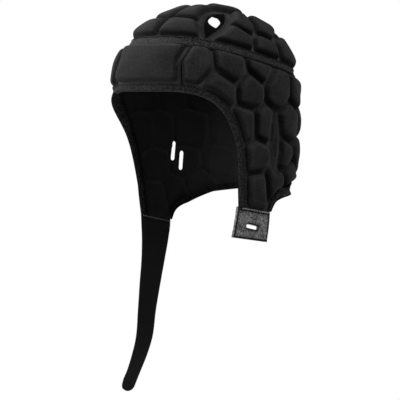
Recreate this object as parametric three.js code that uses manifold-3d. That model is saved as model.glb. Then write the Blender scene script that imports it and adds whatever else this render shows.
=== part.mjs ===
// A padded rugby headguard: moulded foam pads between two cloths, open at the face.
// Millimetres, +Z up. The wearer faces -Y, with the left ear at +X. The origin is where the
// headguard sits on the head: the middle of the head at the height of the brow edge.

import * as THREE from 'three';
import { mergeVertices } from 'three/addons/utils/BufferGeometryUtils.js';
import Module from 'manifold-3d';

const wasm = await Module();
wasm.setup();

const rad = THREE.MathUtils.degToRad;
const point = (x, y, z) => new THREE.Vector3(x, y, z);
const SQUARE = [[-1, -1], [1, -1], [1, 1], [-1, 1]];

// Driving sizes

// Half axes of the head form, which is the lining's inside face
const HEAD = { side: 74, front: 93, back: 90, top: 82, below: 203, nape: 150 };
// Powers of its rounded outlines: 2 is an ellipse, more is squarer
const SQUARENESS = { plan: 2.7, dome: 2.1, flank: 3.6 };
// Bearings between which the flanks' depth gives way to the shorter nape
const NAPE_BEARINGS = { from: 95, to: 150 };

const WALL = 2.4;          // height of the outer cloth between the pads
const LINING = 0.5;        // height of the lining, so that its flat facets lie on the head form
const GAP = 0.4;           // between pieces that are sewn together
const CLEAR = 0.6;         // between a wall and the trim that lies on it
const LINING_CLEAR = 1.4;  // between the lining and the trim folded under it
const TRIM = 0.9;          // thickness of tapes and bindings
const FORM_DETAIL = 6;     // steps on each edge of the round form

// Each ring of a pad: its height above the lining and how far it draws in from the pad's foot
const PAD_RINGS = [
  { name: 'foot', lift: 1.2, inset: 0 },
  { name: 'face', lift: 8.8, inset: 3.2 },
];
const PAD_CROWN = 9.8;     // height of the middle of a pad
const PAD_CORNER = 5.5;    // length cut from each side at a pad's corner
const PAD_REACH = 60;      // half width of the square that a pad is cut from
const BROW_STEPS = 5;      // pieces along each long side of the brow pad

const GROOVE = 4.8;        // bare cloth between two pads
const MARGIN = {
  rim: 8.4, flapEnd: 4, tape: 5.8, browSeam: 3.2, backSeam: 6.5, ear: 1.0, vent: 6.2,
};

// The crown's seam falls towards the back: height at the middle and fall for each mm
const SEAM = { height: 34.6, fall: 0.223 };
// The seam beside the brow pad leans back from the rim to the crown's seam
const BROW_SEAM = { rim: { bearing: 25, height: 2 }, top: { bearing: 29, height: 45 } };

// Pads of the side panels: one row for each course, with the bearing of each pad from the brow.
// On the right side, drawn down by the strap, a course lies lower and turned further back.
const SIDE_COURSES = [
  { height: 26, bearings: [35, 60, 87], lower: 0, turn: 0 },
  { height: 2, bearings: [51, 76, 106, 135, 164], lower: 3, turn: 1 },
  { height: -33, bearings: [70, 91, 121, 148, 172], lower: 9, turn: 4 },
  { height: -65, bearings: [82, 113, 140, 165], lower: 14, turn: 7 },
  { height: -98, bearings: [84], lower: 15, turn: 3 },
  { height: -93, bearings: [105], lower: 14, turn: 5 },
  { height: -90, bearings: [127], lower: 13, turn: 5 },
];

// Pads of the crown's left half, seen from above
const CROWN_PADS = [
  { name: 'brow middle', x: 19, y: -65 },
  { name: 'front middle', x: 15, y: -35 },
  { name: 'top middle', x: 16, y: 12 },
  { name: 'rear middle', x: 13, y: 47 },
  { name: 'nape middle', x: 20, y: 76 },
  { name: 'upper front', x: 41, y: 1 },
  { name: 'upper rear', x: 47, y: 31 },
  { name: 'lower front', x: 62, y: -25 },
  { name: 'lower rear', x: 69, y: 18 },
  { name: 'side rear', x: 62, y: 50 },
];

// Vents of the crown's left half, seen from above: the two tips and the belly on each side
const VENTS = [
  { name: 'front', low: { x: 50, y: -56 }, high: { x: 27, y: -3 }, belly: 8.5 },
  { name: 'rear', low: { x: 34, y: 52 }, high: { x: 17, y: 27 }, belly: 7.5 },
];

// Ear slits and the bare oval around each pair
const EAR_SLIT = { length: 20, width: 4, lean: 7 };
const EARS = [
  {
    side: 1,
    oval: { y: 19, z: -50, halfWidth: 9, halfHeight: 32 },
    slits: [{ y: 16, z: -41.5 }, { y: 22, z: -57 }],
  },
  {
    side: -1,
    oval: { y: 30, z: -69, halfWidth: 11, halfHeight: 31 },
    slits: [{ y: 25, z: -64 }, { y: 35, z: -75 }],
  },
];

// Side view of the edges, one row for each corner or bend: its place along the back (y) and its
// height (z) on the left side. On the right side, drawn by the strap, it lies further back and lower.
const EDGE = [
  { name: 'browEnd', y: -91, z: 2, back: 0, lower: 0 },
  { name: 'faceBend', y: -43, z: -3, back: -9, lower: 9 },
  { name: 'cheek', y: -32, z: -63, back: -2, lower: 7 },
  { name: 'flapFront', y: -27, z: -116.5, back: 2, lower: 14 },
  { name: 'flapRear', y: 17, z: -125, back: 0, lower: 15 },
  { name: 'neckFoot', y: 20, z: -117, back: 2, lower: 15 },
  { name: 'neckBend', y: 22, z: -109, back: 3, lower: 15 },
  { name: 'neckStart', y: 34, z: -107, back: 5, lower: 13 },
  { name: 'neckRear', y: 66, z: -101, back: 0, lower: 7 },
  { name: 'nape', y: 84, z: -101, back: 0, lower: 0 },
];
// The open throat, where nothing of the head form's closed underside is kept
const THROAT = { side: 45, front: 60, back: 50, top: -80 };
const BEYOND = 140;        // past the whole headguard on every side
const EDGE_STEPS = 8;      // pieces of each curved stretch of an edge

const BINDING = { width: 6.4, step: 11, fold: 1.0, start: 0.25 };
const TAPE = { halfHeight: 4.6, halfWidth: 4.6, step: 11, browEnd: 33, backFoot: 6.8 };

const TAB = {
  thickness: 3.2, rise: 2.8, topFront: -31.5, front: -33.5, rear: 19, height: 30,
  slot: { y: -8, z: -137, length: 20, height: 5.4, tilt: 8 },
};

const STRAP_THICKNESS = 2.4;
// The strap's line as it hangs: one row for each station down its length
const STRAP = [
  { z: -136, x: -71.5, y: -2.5, width: 41.5, slant: 12.5 },
  { z: -159, x: -70.0, y: -5, width: 38.5, slant: 6 },
  { z: -180, x: -70.6, y: -8, width: 34, slant: 3 },
  { z: -205, x: -72.4, y: -11.5, width: 29.5, slant: 3 },
  { z: -235, x: -74.5, y: -14.5, width: 26, slant: 4 },
  { z: -268, x: -76.5, y: -18, width: 23, slant: 6 },
  { z: -288, x: -80.5, y: -21, width: 21, slant: 8 },
  { z: -303, x: -85.5, y: -24, width: 18.5, slant: 9 },
  { z: -315, x: -90.0, y: -26.5, width: 17, slant: 10 },
  { z: -321, x: -91.5, y: -27.5, width: 10, slant: 10 },
];

const CLOTH = { color: 0x232325, roughness: 0.9, metalness: 0 };
const TRIM_CLOTH = { color: 0x2b2b2d, roughness: 0.85, metalness: 0 };
const COATED_CLOTH = { color: 0x4a4a4c, roughness: 0.55, metalness: 0 };
const STRAP_CLOTH = { color: 0x252526, roughness: 0.8, metalness: 0 };

// The head form

// How far back a bearing lies: 0 over the ears and forward, 1 at the nape
function napeShare(x, y) {
  const bearing = Math.atan2(Math.abs(x), -y);
  return THREE.MathUtils.smoothstep(bearing, rad(NAPE_BEARINGS.from), rad(NAPE_BEARINGS.to));
}

function depthBelow(x, y, lift) {
  return THREE.MathUtils.lerp(HEAD.below, HEAD.nape, napeShare(x, y)) + lift;
}

// Size of the form through a place, as a share of the form raised by lift
function formShare(p, lift) {
  const lengthwise = (p.y < 0 ? HEAD.front : HEAD.back) + lift;
  const across = Math.abs(p.x) / (HEAD.side + lift);
  const along = Math.abs(p.y) / lengthwise;
  const plan = (across ** SQUARENESS.plan + along ** SQUARENESS.plan) ** (1 / SQUARENESS.plan);
  const power = p.z > 0 ? SQUARENESS.dome : SQUARENESS.flank;
  const tall = p.z > 0 ? HEAD.top + lift : depthBelow(p.x, p.y, lift);
  return (plan ** power + (Math.abs(p.z) / tall) ** power) ** (1 / power);
}

// The place on the raised form that lies in line with p and the origin
function onForm(p, lift) {
  return p.clone().divideScalar(formShare(p, lift));
}

// The place on the raised form at a bearing from the brow and a height
function atBearing(bearing, z, lift) {
  const out = point(Math.sin(bearing), -Math.cos(bearing), 0);
  const power = z > 0 ? SQUARENESS.dome : SQUARENESS.flank;
  const tall = z > 0 ? HEAD.top + lift : depthBelow(out.x, out.y, lift);
  const share = (1 - (Math.abs(z) / tall) ** power) ** (1 / power);
  return out.multiplyScalar(share / formShare(out, lift)).setZ(z);
}

// The bearing at which the side view's place (y, z) meets the form
function bearingOf(y, z, lift) {
  let low = 0;
  let high = HEAD.side + lift;
  for (let i = 0; i < 40; i += 1) {
    const x = (low + high) / 2;
    if (formShare(point(x, y, z), lift) < 1) low = x;
    else high = x;
  }
  return Math.atan2(low, -y);
}

function formNormal(p) {
  const step = 0.5;
  const share = (dx, dy, dz) => formShare(point(p.x + dx, p.y + dy, p.z + dz), 0);
  return point(
    share(step, 0, 0) - share(-step, 0, 0),
    share(0, step, 0) - share(0, -step, 0),
    share(0, 0, step) - share(0, 0, -step),
  ).normalize();
}

// Solids and meshes

function toSolid(geometry) {
  const bare = new THREE.BufferGeometry();
  bare.setAttribute('position', geometry.getAttribute('position'));
  bare.setIndex(geometry.getIndex());
  const merged = mergeVertices(bare, 1e-4);
  const vertProperties = new Float32Array(merged.getAttribute('position').array);
  const triVerts = new Uint32Array(merged.getIndex().array);
  return new wasm.Manifold(new wasm.Mesh({ numProp: 3, vertProperties, triVerts }));
}

function toGeometry(solid) {
  const { vertProperties, triVerts } = solid.getMesh();
  const geometry = new THREE.BufferGeometry();
  geometry.setAttribute('position', new THREE.BufferAttribute(vertProperties, 3));
  geometry.setIndex(new THREE.BufferAttribute(triVerts, 1));
  return geometry;
}

function named(name, geometry, finish) {
  geometry.computeVertexNormals();
  const mesh = new THREE.Mesh(geometry, new THREE.MeshStandardMaterial(finish));
  mesh.name = name;
  return mesh;
}

// The band of faces between rings of equal length
function band(rings) {
  const count = rings[0].length;
  const faces = [];
  for (let r = 0; r + 1 < rings.length; r += 1) {
    for (let i = 0; i < count; i += 1) {
      const [a, b] = [r * count + i, r * count + ((i + 1) % count)];
      faces.push([a, b, b + count], [a, b + count, a + count]);
    }
  }
  return faces;
}

// A closed skin over rings, with a middle place in each of its two ends
function skin(rings) {
  const count = rings[0].length;
  const middle = (ring) => ring.reduce((sum, p) => sum.add(p), point(0, 0, 0)).divideScalar(count);
  const places = [...rings.flat(), middle(rings[0]), middle(rings.at(-1))];
  const faces = band(rings);
  const last = (rings.length - 1) * count;
  for (let i = 0; i < count; i += 1) {
    const next = (i + 1) % count;
    faces.push([next, i, places.length - 2], [last + i, last + next, places.length - 1]);
  }
  return facesOut(places, faces);
}

// A closed skin over rings that repeat one flat section, given as pairs
function tube(rings, section) {
  const flat = section.map(([x, y]) => new THREE.Vector2(x, y));
  const turned = THREE.ShapeUtils.isClockWise(flat);
  const last = (rings.length - 1) * section.length;
  const faces = band(rings);
  for (const [a, b, c] of THREE.ShapeUtils.triangulateShape(flat, [])) {
    const even = THREE.ShapeUtils.isClockWise([flat[a], flat[b], flat[c]]) === turned;
    const [p, q] = even ? [b, c] : [c, b];
    faces.push([a, q, p], [last + a, last + p, last + q]);
  }
  return facesOut(rings.flat(), faces);
}

function facesOut(places, faces) {
  const volume = faces.reduce((sum, [a, b, c]) => sum + places[a].dot(places[b].clone().cross(places[c])), 0);
  const turned = volume < 0 ? faces.map(([a, b, c]) => [a, c, b]) : faces;
  const geometry = new THREE.BufferGeometry().setFromPoints(places);
  geometry.setIndex(turned.flat());
  return geometry;
}

function formSolid(lift) {
  const geometry = new THREE.IcosahedronGeometry(1, FORM_DETAIL);
  const places = geometry.getAttribute('position');
  const p = new THREE.Vector3();
  for (let i = 0; i < places.count; i += 1) {
    const q = onForm(p.fromBufferAttribute(places, i), lift);
    places.setXYZ(i, q.x, q.y, q.z);
  }
  return toSolid(geometry);
}

// A block that fills the outer side of a plane, starting clear of it
function outerBlock(plane, clear) {
  const size = 6 * BEYOND;
  const block = new THREE.BoxGeometry(size, size, size);
  block.translate(0, 0, size / 2 + clear);
  const turn = new THREE.Quaternion().setFromUnitVectors(point(0, 0, 1), plane.normal);
  block.applyQuaternion(turn);
  const foot = plane.coplanarPoint(new THREE.Vector3());
  return toSolid(block.translate(foot.x, foot.y, foot.z));
}

// A side-view shape, drawn as (y, z), filled from one x to another
function sideBlock(shape, fromX, toX) {
  const block = new THREE.ExtrudeGeometry(shape, {
    depth: toX - fromX, bevelEnabled: false, curveSegments: EDGE_STEPS,
  });
  const turn = new THREE.Matrix4().makeBasis(point(0, 1, 0), point(0, 0, 1), point(1, 0, 0));
  return toSolid(block.applyMatrix4(turn).translate(fromX, 0, 0));
}

function throatBlock() {
  const { side, front, back, top } = THROAT;
  const block = new THREE.BoxGeometry(2 * side, front + back, BEYOND);
  return toSolid(block.translate(0, (back - front) / 2, top - BEYOND / 2));
}

function stadium(length, width) {
  const shape = new THREE.Shape();
  const [straight, round] = [(length - width) / 2, width / 2];
  shape.absarc(straight, 0, round, -Math.PI / 2, Math.PI / 2);
  shape.absarc(-straight, 0, round, Math.PI / 2, 1.5 * Math.PI);
  return shape;
}

// A round-ended slot through the wall, seen from the side, turned by tilt degrees from level
function slotBlock({ y, z, length, height, tilt }, fromX, toX) {
  const slot = new THREE.ExtrudeGeometry(stadium(length, height), {
    depth: toX - fromX, bevelEnabled: false, curveSegments: 4,
  });
  slot.rotateZ(rad(tilt));
  const turn = new THREE.Matrix4().makeBasis(point(0, 1, 0), point(0, 0, 1), point(1, 0, 0));
  return toSolid(slot.applyMatrix4(turn).translate(fromX, y, z));
}

// Seams and edges

const across = (sign) => (p) => point(sign * p.x, p.y, p.z);

function planeFrom(normal, through) {
  return new THREE.Plane().setFromNormalAndCoplanarPoint(normal.normalize(), through);
}

const crownSeam = planeFrom(point(0, SEAM.fall, 1), point(0, 0, SEAM.height));

function browSeam(sign) {
  const { rim, top } = BROW_SEAM;
  const foot = across(sign)(atBearing(rad(rim.bearing), rim.height, 0));
  const head = across(sign)(atBearing(rad(top.bearing), top.height, 0));
  const normal = head.cross(foot).multiplyScalar(sign);
  return planeFrom(normal, point(0, 0, 0));
}

const flipped = (plane) => plane.clone().negate();

// The edge's corners and bends on one side, each as { y, z }
function edgePlaces(sign) {
  const moved = sign > 0 ? 0 : 1;
  return Object.fromEntries(EDGE.map(({ name, y, z, back, lower }) =>
    [name, { y: y + moved * back, z: z - moved * lower }]));
}

function neckHeight(y, { neckStart, neckRear, nape }) {
  const [from, to] = y < neckRear.y ? [neckStart, neckRear] : [neckRear, nape];
  return THREE.MathUtils.mapLinear(y, from.y, to.y, from.z, to.z);
}

function edgeShape(e) {
  const shape = new THREE.Shape();
  shape.moveTo(-BEYOND, e.browEnd.z);
  shape.lineTo(e.browEnd.y, e.browEnd.z);
  shape.quadraticCurveTo(e.faceBend.y, e.faceBend.z, e.cheek.y, e.cheek.z);
  shape.lineTo(e.flapFront.y, e.flapFront.z);
  shape.lineTo(e.flapRear.y, e.flapRear.z);
  shape.lineTo(e.neckFoot.y, e.neckFoot.z);
  shape.quadraticCurveTo(e.neckBend.y, e.neckBend.z, e.neckStart.y, e.neckStart.z);
  shape.lineTo(e.neckRear.y, e.neckRear.z);
  shape.lineTo(e.nape.y, e.nape.z);
  shape.lineTo(BEYOND, e.nape.z);
  shape.lineTo(BEYOND, BEYOND);
  shape.lineTo(-BEYOND, BEYOND);
  return shape;
}

// The edge's outline cut at the flap's two corners into the face, the flap's end and the neck,
// each with the bare cloth that a pad leaves along it
function stretches(e) {
  const outline = edgeShape(e).getPoints(EDGE_STEPS);
  const corner = ({ y, z }) => outline.findIndex((p) => p.distanceTo(new THREE.Vector2(y, z)) < GAP);
  const [front, rear] = [corner(e.flapFront), corner(e.flapRear)];
  return [
    { line: outline.slice(0, front + 1), margin: MARGIN.rim },
    { line: outline.slice(front, rear + 1), margin: MARGIN.flapEnd },
    { line: outline.slice(rear, -2), margin: MARGIN.rim },
  ];
}

// The plane that touches a line of places nearest to a place, facing away from it
function touchingPlane(line, place, to3d) {
  let best = null;
  for (let i = 0; i + 1 < line.length; i += 1) {
    const [a, b] = [line[i], line[i + 1]];
    const along = b.clone().sub(a);
    const share = THREE.MathUtils.clamp(place.clone().sub(a).dot(along) / along.lengthSq(), 0, 1);
    const near = a.clone().addScaledVector(along, share);
    const distance = near.distanceTo(place);
    if (!best || distance < best.distance) best = { near, distance };
  }
  const away = best.near.clone().sub(place).normalize();
  return planeFrom(to3d(away), to3d(best.near));
}

const sideView = (v) => point(0, v.x, v.y);
const topView = (v) => point(v.x, v.y, 0);

function lens({ low, high, belly }) {
  const middle = new THREE.Vector2((low.x + high.x) / 2, (low.y + high.y) / 2);
  const swell = new THREE.Vector2(high.y - low.y, low.x - high.x).normalize().multiplyScalar(2 * belly);
  const shape = new THREE.Shape();
  shape.moveTo(low.x, low.y);
  shape.quadraticCurveTo(middle.x + swell.x, middle.y + swell.y, high.x, high.y);
  shape.quadraticCurveTo(middle.x - swell.x, middle.y - swell.y, low.x, low.y);
  return shape;
}

function earOval({ y, z, halfWidth, halfHeight }) {
  return new THREE.EllipseCurve(y, z, halfWidth, halfHeight).getPoints(24).slice(1);
}

// Pads

// Cuts a flat outline to the side of the line a x + b y <= c
function cutFlat(outline, a, b, c) {
  const result = [];
  const height = (p) => a * p.x + b * p.y - c;
  outline.forEach((p, i) => {
    const q = outline[(i + 1) % outline.length];
    const [hp, hq] = [height(p), height(q)];
    if (hp <= 0) result.push(p);
    if (hp * hq < 0) result.push(p.clone().lerp(q, hp / (hp - hq)));
  });
  return result;
}

// Draws an outline in by an even distance
function drawnIn(outline, distance) {
  return outline.map((p, i) => {
    const before = outline.at(i - 1);
    const after = outline[(i + 1) % outline.length];
    const along = after.clone().sub(before).normalize();
    return p.clone().add(new THREE.Vector2(-along.y, along.x).multiplyScalar(distance));
  });
}

function rounded(outline, steps) {
  return outline.flatMap((p, i) => {
    const before = outline.at(i - 1);
    const after = outline[(i + 1) % outline.length];
    const cut = (q) => p.clone().lerp(q, Math.min(PAD_CORNER / p.distanceTo(q), 0.34));
    const [start, end] = [cut(before), cut(after)];
    const far = after.clone().lerp(p, Math.min(PAD_CORNER / p.distanceTo(after), 0.34));
    const between = [];
    for (let k = 1; k < steps; k += 1) between.push(end.clone().lerp(far, k / steps));
    return [start, end, ...between];
  });
}

// Draws a place on the wall back until it keeps its margin from every border
function keptClear(place, borders) {
  let q = place;
  for (let round = 0; round < 6; round += 1) {
    for (const { plane, margin } of borders) {
      const normal = formNormal(q);
      const away = plane.normal.clone().addScaledVector(normal, -normal.dot(plane.normal));
      const excess = plane.distanceToPoint(q) / away.length() + margin;
      if (excess > 0) q = onForm(q.addScaledVector(away.normalize(), -excess), WALL);
    }
  }
  return q;
}

// A pad on the form around a place, kept to the inner side of every border plane
function padSolid(seed, borders, steps = 1) {
  const normal = formNormal(seed);
  const acrossPad = point(0, 0, 1).cross(normal).normalize();
  const upPad = normal.clone().cross(acrossPad);
  let outline = SQUARE.map(([x, y]) => new THREE.Vector2(x, y).multiplyScalar(PAD_REACH));
  for (const { plane, margin } of borders) {
    const slope = new THREE.Vector2(plane.normal.dot(acrossPad), plane.normal.dot(upPad));
    const room = -plane.distanceToPoint(seed) - margin * slope.length();
    outline = cutFlat(outline, slope.x, slope.y, room);
  }
  const flat = (p) => seed.clone().addScaledVector(acrossPad, p.x).addScaledVector(upPad, p.y);
  const place = (p, lift) => onForm(flat(p), lift);
  const flattened = (q) => {
    const onPlane = q.clone().multiplyScalar(seed.dot(normal) / q.dot(normal)).sub(seed);
    return new THREE.Vector2(onPlane.dot(acrossPad), onPlane.dot(upPad));
  };
  const foot = rounded(outline, steps).map((p) => flattened(keptClear(place(p, WALL), borders)));
  const rings = PAD_RINGS.map(({ lift, inset }) => drawnIn(foot, inset).map((p) => place(p, lift)));
  const geometry = skin(rings);
  const places = geometry.getAttribute('position');
  [PAD_RINGS[0].lift, PAD_CROWN].forEach((lift, i) => {
    const index = places.count - 2 + i;
    const middle = onForm(new THREE.Vector3().fromBufferAttribute(places, index), lift);
    places.setXYZ(index, middle.x, middle.y, middle.z);
  });
  return toSolid(geometry);
}

// Borders half way from one pad to each of the others
function grooves(seed, seeds) {
  return seeds.filter((other) => other !== seed).map((other) => ({
    plane: planeFrom(other.clone().sub(seed), other.clone().lerp(seed, 0.5)),
    margin: GROOVE / 2,
  }));
}

function joined(solids) {
  return solids.reduce((whole, next) => whole.add(next));
}

// The panels

const shell = formSolid(WALL).subtract(formSolid(LINING));
const leftBlock = sideBlock(edgeShape(edgePlaces(1)), 0, BEYOND);
const rightBlock = sideBlock(edgeShape(edgePlaces(-1)), -BEYOND, 0);
const bandWall = shell
  .intersect(leftBlock.add(rightBlock))
  .subtract(throatBlock())
  .subtract(outerBlock(crownSeam, -GAP / 2));

function browPanel() {
  const sides = [1, -1].map((sign) => browSeam(sign));
  const wall = sides.reduce((rest, plane) => rest.subtract(outerBlock(plane, -GAP / 2)), bandWall);
  const front = wall.subtract(outerBlock(planeFrom(point(0, 1, 0), point(0, 0, 0)), 0));
  const seed = atBearing(0, (crownHeight(0) - MARGIN.tape + edgePlaces(1).browEnd.z + MARGIN.rim) / 2, WALL);
  const borders = [
    { plane: crownSeam, margin: MARGIN.tape },
    { plane: planeFrom(point(0, 0, -1), point(0, 0, edgePlaces(1).browEnd.z)), margin: MARGIN.rim },
    ...sides.map((plane) => ({ plane, margin: MARGIN.browSeam })),
  ];
  return front.add(padSolid(seed, borders, BROW_STEPS));
}

function sidePanel(sign) {
  const { oval, slits } = EARS.find((ear) => ear.side === sign);
  const backSeam = planeFrom(point(-sign, 0, 0), point(0, 0, 0));
  const frontSeam = flipped(browSeam(sign));
  let wall = bandWall.subtract(outerBlock(backSeam, -GAP / 2)).subtract(outerBlock(frontSeam, -GAP / 2));
  for (const { y, z } of slits) {
    const slit = { y, z, length: EAR_SLIT.length, height: EAR_SLIT.width, tilt: 90 - EAR_SLIT.lean };
    wall = wall.subtract(sign > 0 ? slotBlock(slit, 0, BEYOND) : slotBlock(slit, -BEYOND, 0));
  }
  const ear = earOval(oval);
  const edgeLines = stretches(edgePlaces(sign));
  const moved = sign > 0 ? 0 : 1;
  const seeds = SIDE_COURSES.flatMap(({ height, bearings, lower, turn }) => bearings.map((bearing) =>
    across(sign)(atBearing(rad(bearing + moved * turn), height - moved * lower, WALL))));
  const pads = seeds.map((seed) => {
    const seen = new THREE.Vector2(seed.y, seed.z);
    return padSolid(seed, [
      ...grooves(seed, seeds),
      { plane: crownSeam, margin: MARGIN.tape },
      { plane: frontSeam, margin: MARGIN.browSeam },
      { plane: backSeam, margin: MARGIN.backSeam },
      ...edgeLines.map(({ line, margin }) => ({ plane: touchingPlane(line, seen, sideView), margin })),
      { plane: touchingPlane(ear, seen, sideView), margin: MARGIN.ear },
    ]);
  });
  return joined([wall, ...pads]);
}

function crownPanel() {
  let wall = shell.subtract(outerBlock(flipped(crownSeam), -GAP / 2));
  const seeds = [];
  const outlines = [];
  for (const sign of [1, -1]) {
    const place = ({ x, y }) => ({ x: sign * x, y });
    for (const vent of VENTS) {
      const shape = lens({ low: place(vent.low), high: place(vent.high), belly: vent.belly });
      const cut = new THREE.ExtrudeGeometry(shape, {
        depth: BEYOND, bevelEnabled: false, curveSegments: EDGE_STEPS,
      });
      wall = wall.subtract(toSolid(cut));
      outlines.push(shape.getPoints(EDGE_STEPS));
    }
    for (const { x, y } of CROWN_PADS) seeds.push(onForm(overhead(sign * x, y), WALL));
  }
  const pads = seeds.map((seed) => {
    const seen = new THREE.Vector2(seed.x, seed.y);
    return padSolid(seed, [
      ...grooves(seed, seeds),
      { plane: flipped(crownSeam), margin: MARGIN.tape },
      ...outlines.map((outline) => ({ plane: touchingPlane(outline, seen, topView), margin: MARGIN.vent })),
    ]);
  });
  return joined([wall, ...pads]);
}

// The place on the wall straight above (x, y)
function overhead(x, y) {
  let low = 0;
  let high = HEAD.top + WALL;
  for (let i = 0; i < 40; i += 1) {
    const z = (low + high) / 2;
    if (formShare(point(x, y, z), WALL) < 1) low = z;
    else high = z;
  }
  return point(x, y, low);
}

// Tapes and bindings, drawn on the form unrolled to (bearing, height)

const UNROLL = (HEAD.side + HEAD.front) / 2;

function crownHeight(bearing) {
  let z = SEAM.height;
  for (let i = 0; i < 30; i += 1) z = SEAM.height - SEAM.fall * atBearing(bearing, z, WALL).y;
  return z;
}

// Sweeps a section, given as (inward, lift), along stations of the unrolled form
function sweep(stations, section) {
  const rings = stations.map((at, i) => {
    const before = stations[Math.max(i - 1, 0)];
    const after = stations[Math.min(i + 1, stations.length - 1)];
    const along = after.clone().sub(before).normalize();
    const inward = new THREE.Vector2(-along.y, along.x);
    return section.map(([depth, lift]) => {
      const spot = at.clone().addScaledVector(inward, depth);
      return atBearing(spot.x / UNROLL, spot.y, lift);
    });
  });
  return tube(rings, section);
}

const OUTSIDE = [WALL + CLEAR, WALL + CLEAR + TRIM];

function tapeSection(half) {
  const [low, high] = OUTSIDE;
  return [[-half, low], [half, low], [half, high], [-half, high]];
}

function seamTape(fromBearing, toBearing) {
  const count = Math.ceil((rad(toBearing - fromBearing) * UNROLL) / TAPE.step);
  const stations = [];
  for (let i = 0; i <= count; i += 1) {
    const bearing = rad(THREE.MathUtils.lerp(fromBearing, toBearing, i / count));
    stations.push(new THREE.Vector2(bearing * UNROLL, crownHeight(bearing)));
  }
  return sweep(stations, tapeSection(TAPE.halfHeight));
}

function backTape() {
  const back = Math.PI * UNROLL;
  const top = crownHeight(Math.PI) - TAPE.halfHeight - GAP;
  const foot = edgePlaces(1).nape.z + TAPE.backFoot + GAP;
  const count = Math.ceil((top - foot) / TAPE.step);
  const stations = [];
  for (let i = 0; i <= count; i += 1) {
    stations.push(new THREE.Vector2(back, THREE.MathUtils.lerp(foot, top, i / count)));
  }
  return sweep(stations, tapeSection(TAPE.halfWidth));
}

// A folded cloth around an edge: out over the wall, round the edge and back along the lining
function bindingSection() {
  const [inner, outer] = OUTSIDE;
  const [lining, face] = [-LINING_CLEAR, -LINING_CLEAR - TRIM];
  const { width, fold } = BINDING;
  const edge = -fold - TRIM;
  return [
    [width, inner], [width, outer], [edge, outer], [edge, face],
    [width, face], [width, lining], [-fold, lining], [-fold, inner],
  ];
}

const unrolled = ({ x: y, y: z }) => new THREE.Vector2(bearingOf(y, z, WALL / 2) * UNROLL, z);

// Stations along a side-view line of places, close enough to follow the form
function stationsAlong(line) {
  const stations = [];
  for (let i = 0; i + 1 < line.length; i += 1) {
    const [a, b] = [line[i], line[i + 1]];
    const count = Math.ceil(unrolled(a).distanceTo(unrolled(b)) / BINDING.step);
    for (let k = 0; k < count; k += 1) stations.push(unrolled(a.clone().lerp(b, k / count)));
  }
  return [...stations, unrolled(line.at(-1))];
}

function bend(start, middle, end) {
  const [a, b, c] = [start, middle, end].map(({ y, z }) => new THREE.Vector2(y, z));
  return new THREE.QuadraticBezierCurve(a, b, c).getPoints(EDGE_STEPS);
}

function faceBinding() {
  const [left, right] = [1, -1].map((sign) => {
    const { browEnd, faceBend, cheek, flapFront } = edgePlaces(sign);
    const flapLine = new THREE.Vector2(flapFront.y, flapFront.z);
    return stationsAlong([...bend(browEnd, faceBend, cheek), flapLine]).reverse();
  });
  const { x: reach, y: height } = left.at(-1);
  const count = Math.round((2 * reach) / BINDING.step);
  const brow = [];
  for (let i = 1; i < count; i += 1) {
    brow.push(new THREE.Vector2(THREE.MathUtils.lerp(-reach, reach, i / count), height));
  }
  const rightward = right.map((s) => new THREE.Vector2(-s.x, s.y));
  return sweep([...rightward, ...brow, ...left.reverse()], bindingSection());
}

// The neck's edge from one flap to just short of the middle of the nape
function neckStations(e) {
  const turn = { y: HEAD.back * 0.8, z: neckHeight(HEAD.back * 0.8, e) };
  const [foot, rear, last] = [e.flapRear, e.neckRear, turn].map(({ y, z }) => new THREE.Vector2(y, z));
  const turned = bend(e.neckFoot, e.neckBend, e.neckStart);
  const stations = stationsAlong([foot.lerp(turned[0], BINDING.start), ...turned, rear, last]);
  const from = stations.at(-1).x;
  const count = Math.round((Math.PI * UNROLL - from) / BINDING.step);
  for (let i = 1; i < count; i += 1) {
    const u = THREE.MathUtils.lerp(from, Math.PI * UNROLL, i / count);
    let z = e.nape.z;
    for (let k = 0; k < 8; k += 1) {
      z = neckHeight(Math.min(atBearing(u / UNROLL, z, WALL / 2).y, e.nape.y), e);
    }
    stations.push(new THREE.Vector2(u, z));
  }
  return stations;
}

function neckBinding() {
  const [left, right] = [1, -1].map((sign) => neckStations(edgePlaces(sign)));
  const rightward = right.map((s) => new THREE.Vector2(2 * Math.PI * UNROLL - s.x, s.y)).reverse();
  const nape = new THREE.Vector2(Math.PI * UNROLL, edgePlaces(1).nape.z);
  return sweep([...left, nape, ...rightward], bindingSection());
}

// Tab and strap

function strapTab() {
  const { topFront, front, rear, height, slot } = TAB;
  const e = edgePlaces(1);
  const shape = new THREE.Shape();
  shape.moveTo(topFront, e.flapFront.z - GAP);
  shape.lineTo(front, e.flapFront.z - height);
  shape.lineTo(rear, e.flapRear.z - height);
  shape.lineTo(e.flapRear.y, e.flapRear.z - GAP);
  const low = TAB.rise - TAB.thickness;
  const wall = formSolid(TAB.rise).subtract(formSolid(low));
  const hole = slotBlock({ ...slot, tilt: -slot.tilt }, 0, BEYOND);
  return wall.intersect(sideBlock(shape, THROAT.side, BEYOND)).subtract(hole);
}

function chinStrap() {
  const line = STRAP.map(({ x, y, z }) => point(x, y, z));
  const rings = STRAP.map(({ width, slant }, i) => {
    const along = line[Math.min(i + 1, line.length - 1)].clone().sub(line[Math.max(i - 1, 0)]).normalize();
    const wide = point(0, Math.cos(rad(slant)), -Math.sin(rad(slant))).multiplyScalar(width / 2);
    const thick = along.clone().cross(wide).normalize().multiplyScalar(STRAP_THICKNESS / 2);
    return SQUARE.map(([w, t]) => line[i].clone().addScaledVector(wide, w).addScaledVector(thick, t));
  });
  return tube(rings, SQUARE);
}

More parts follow.
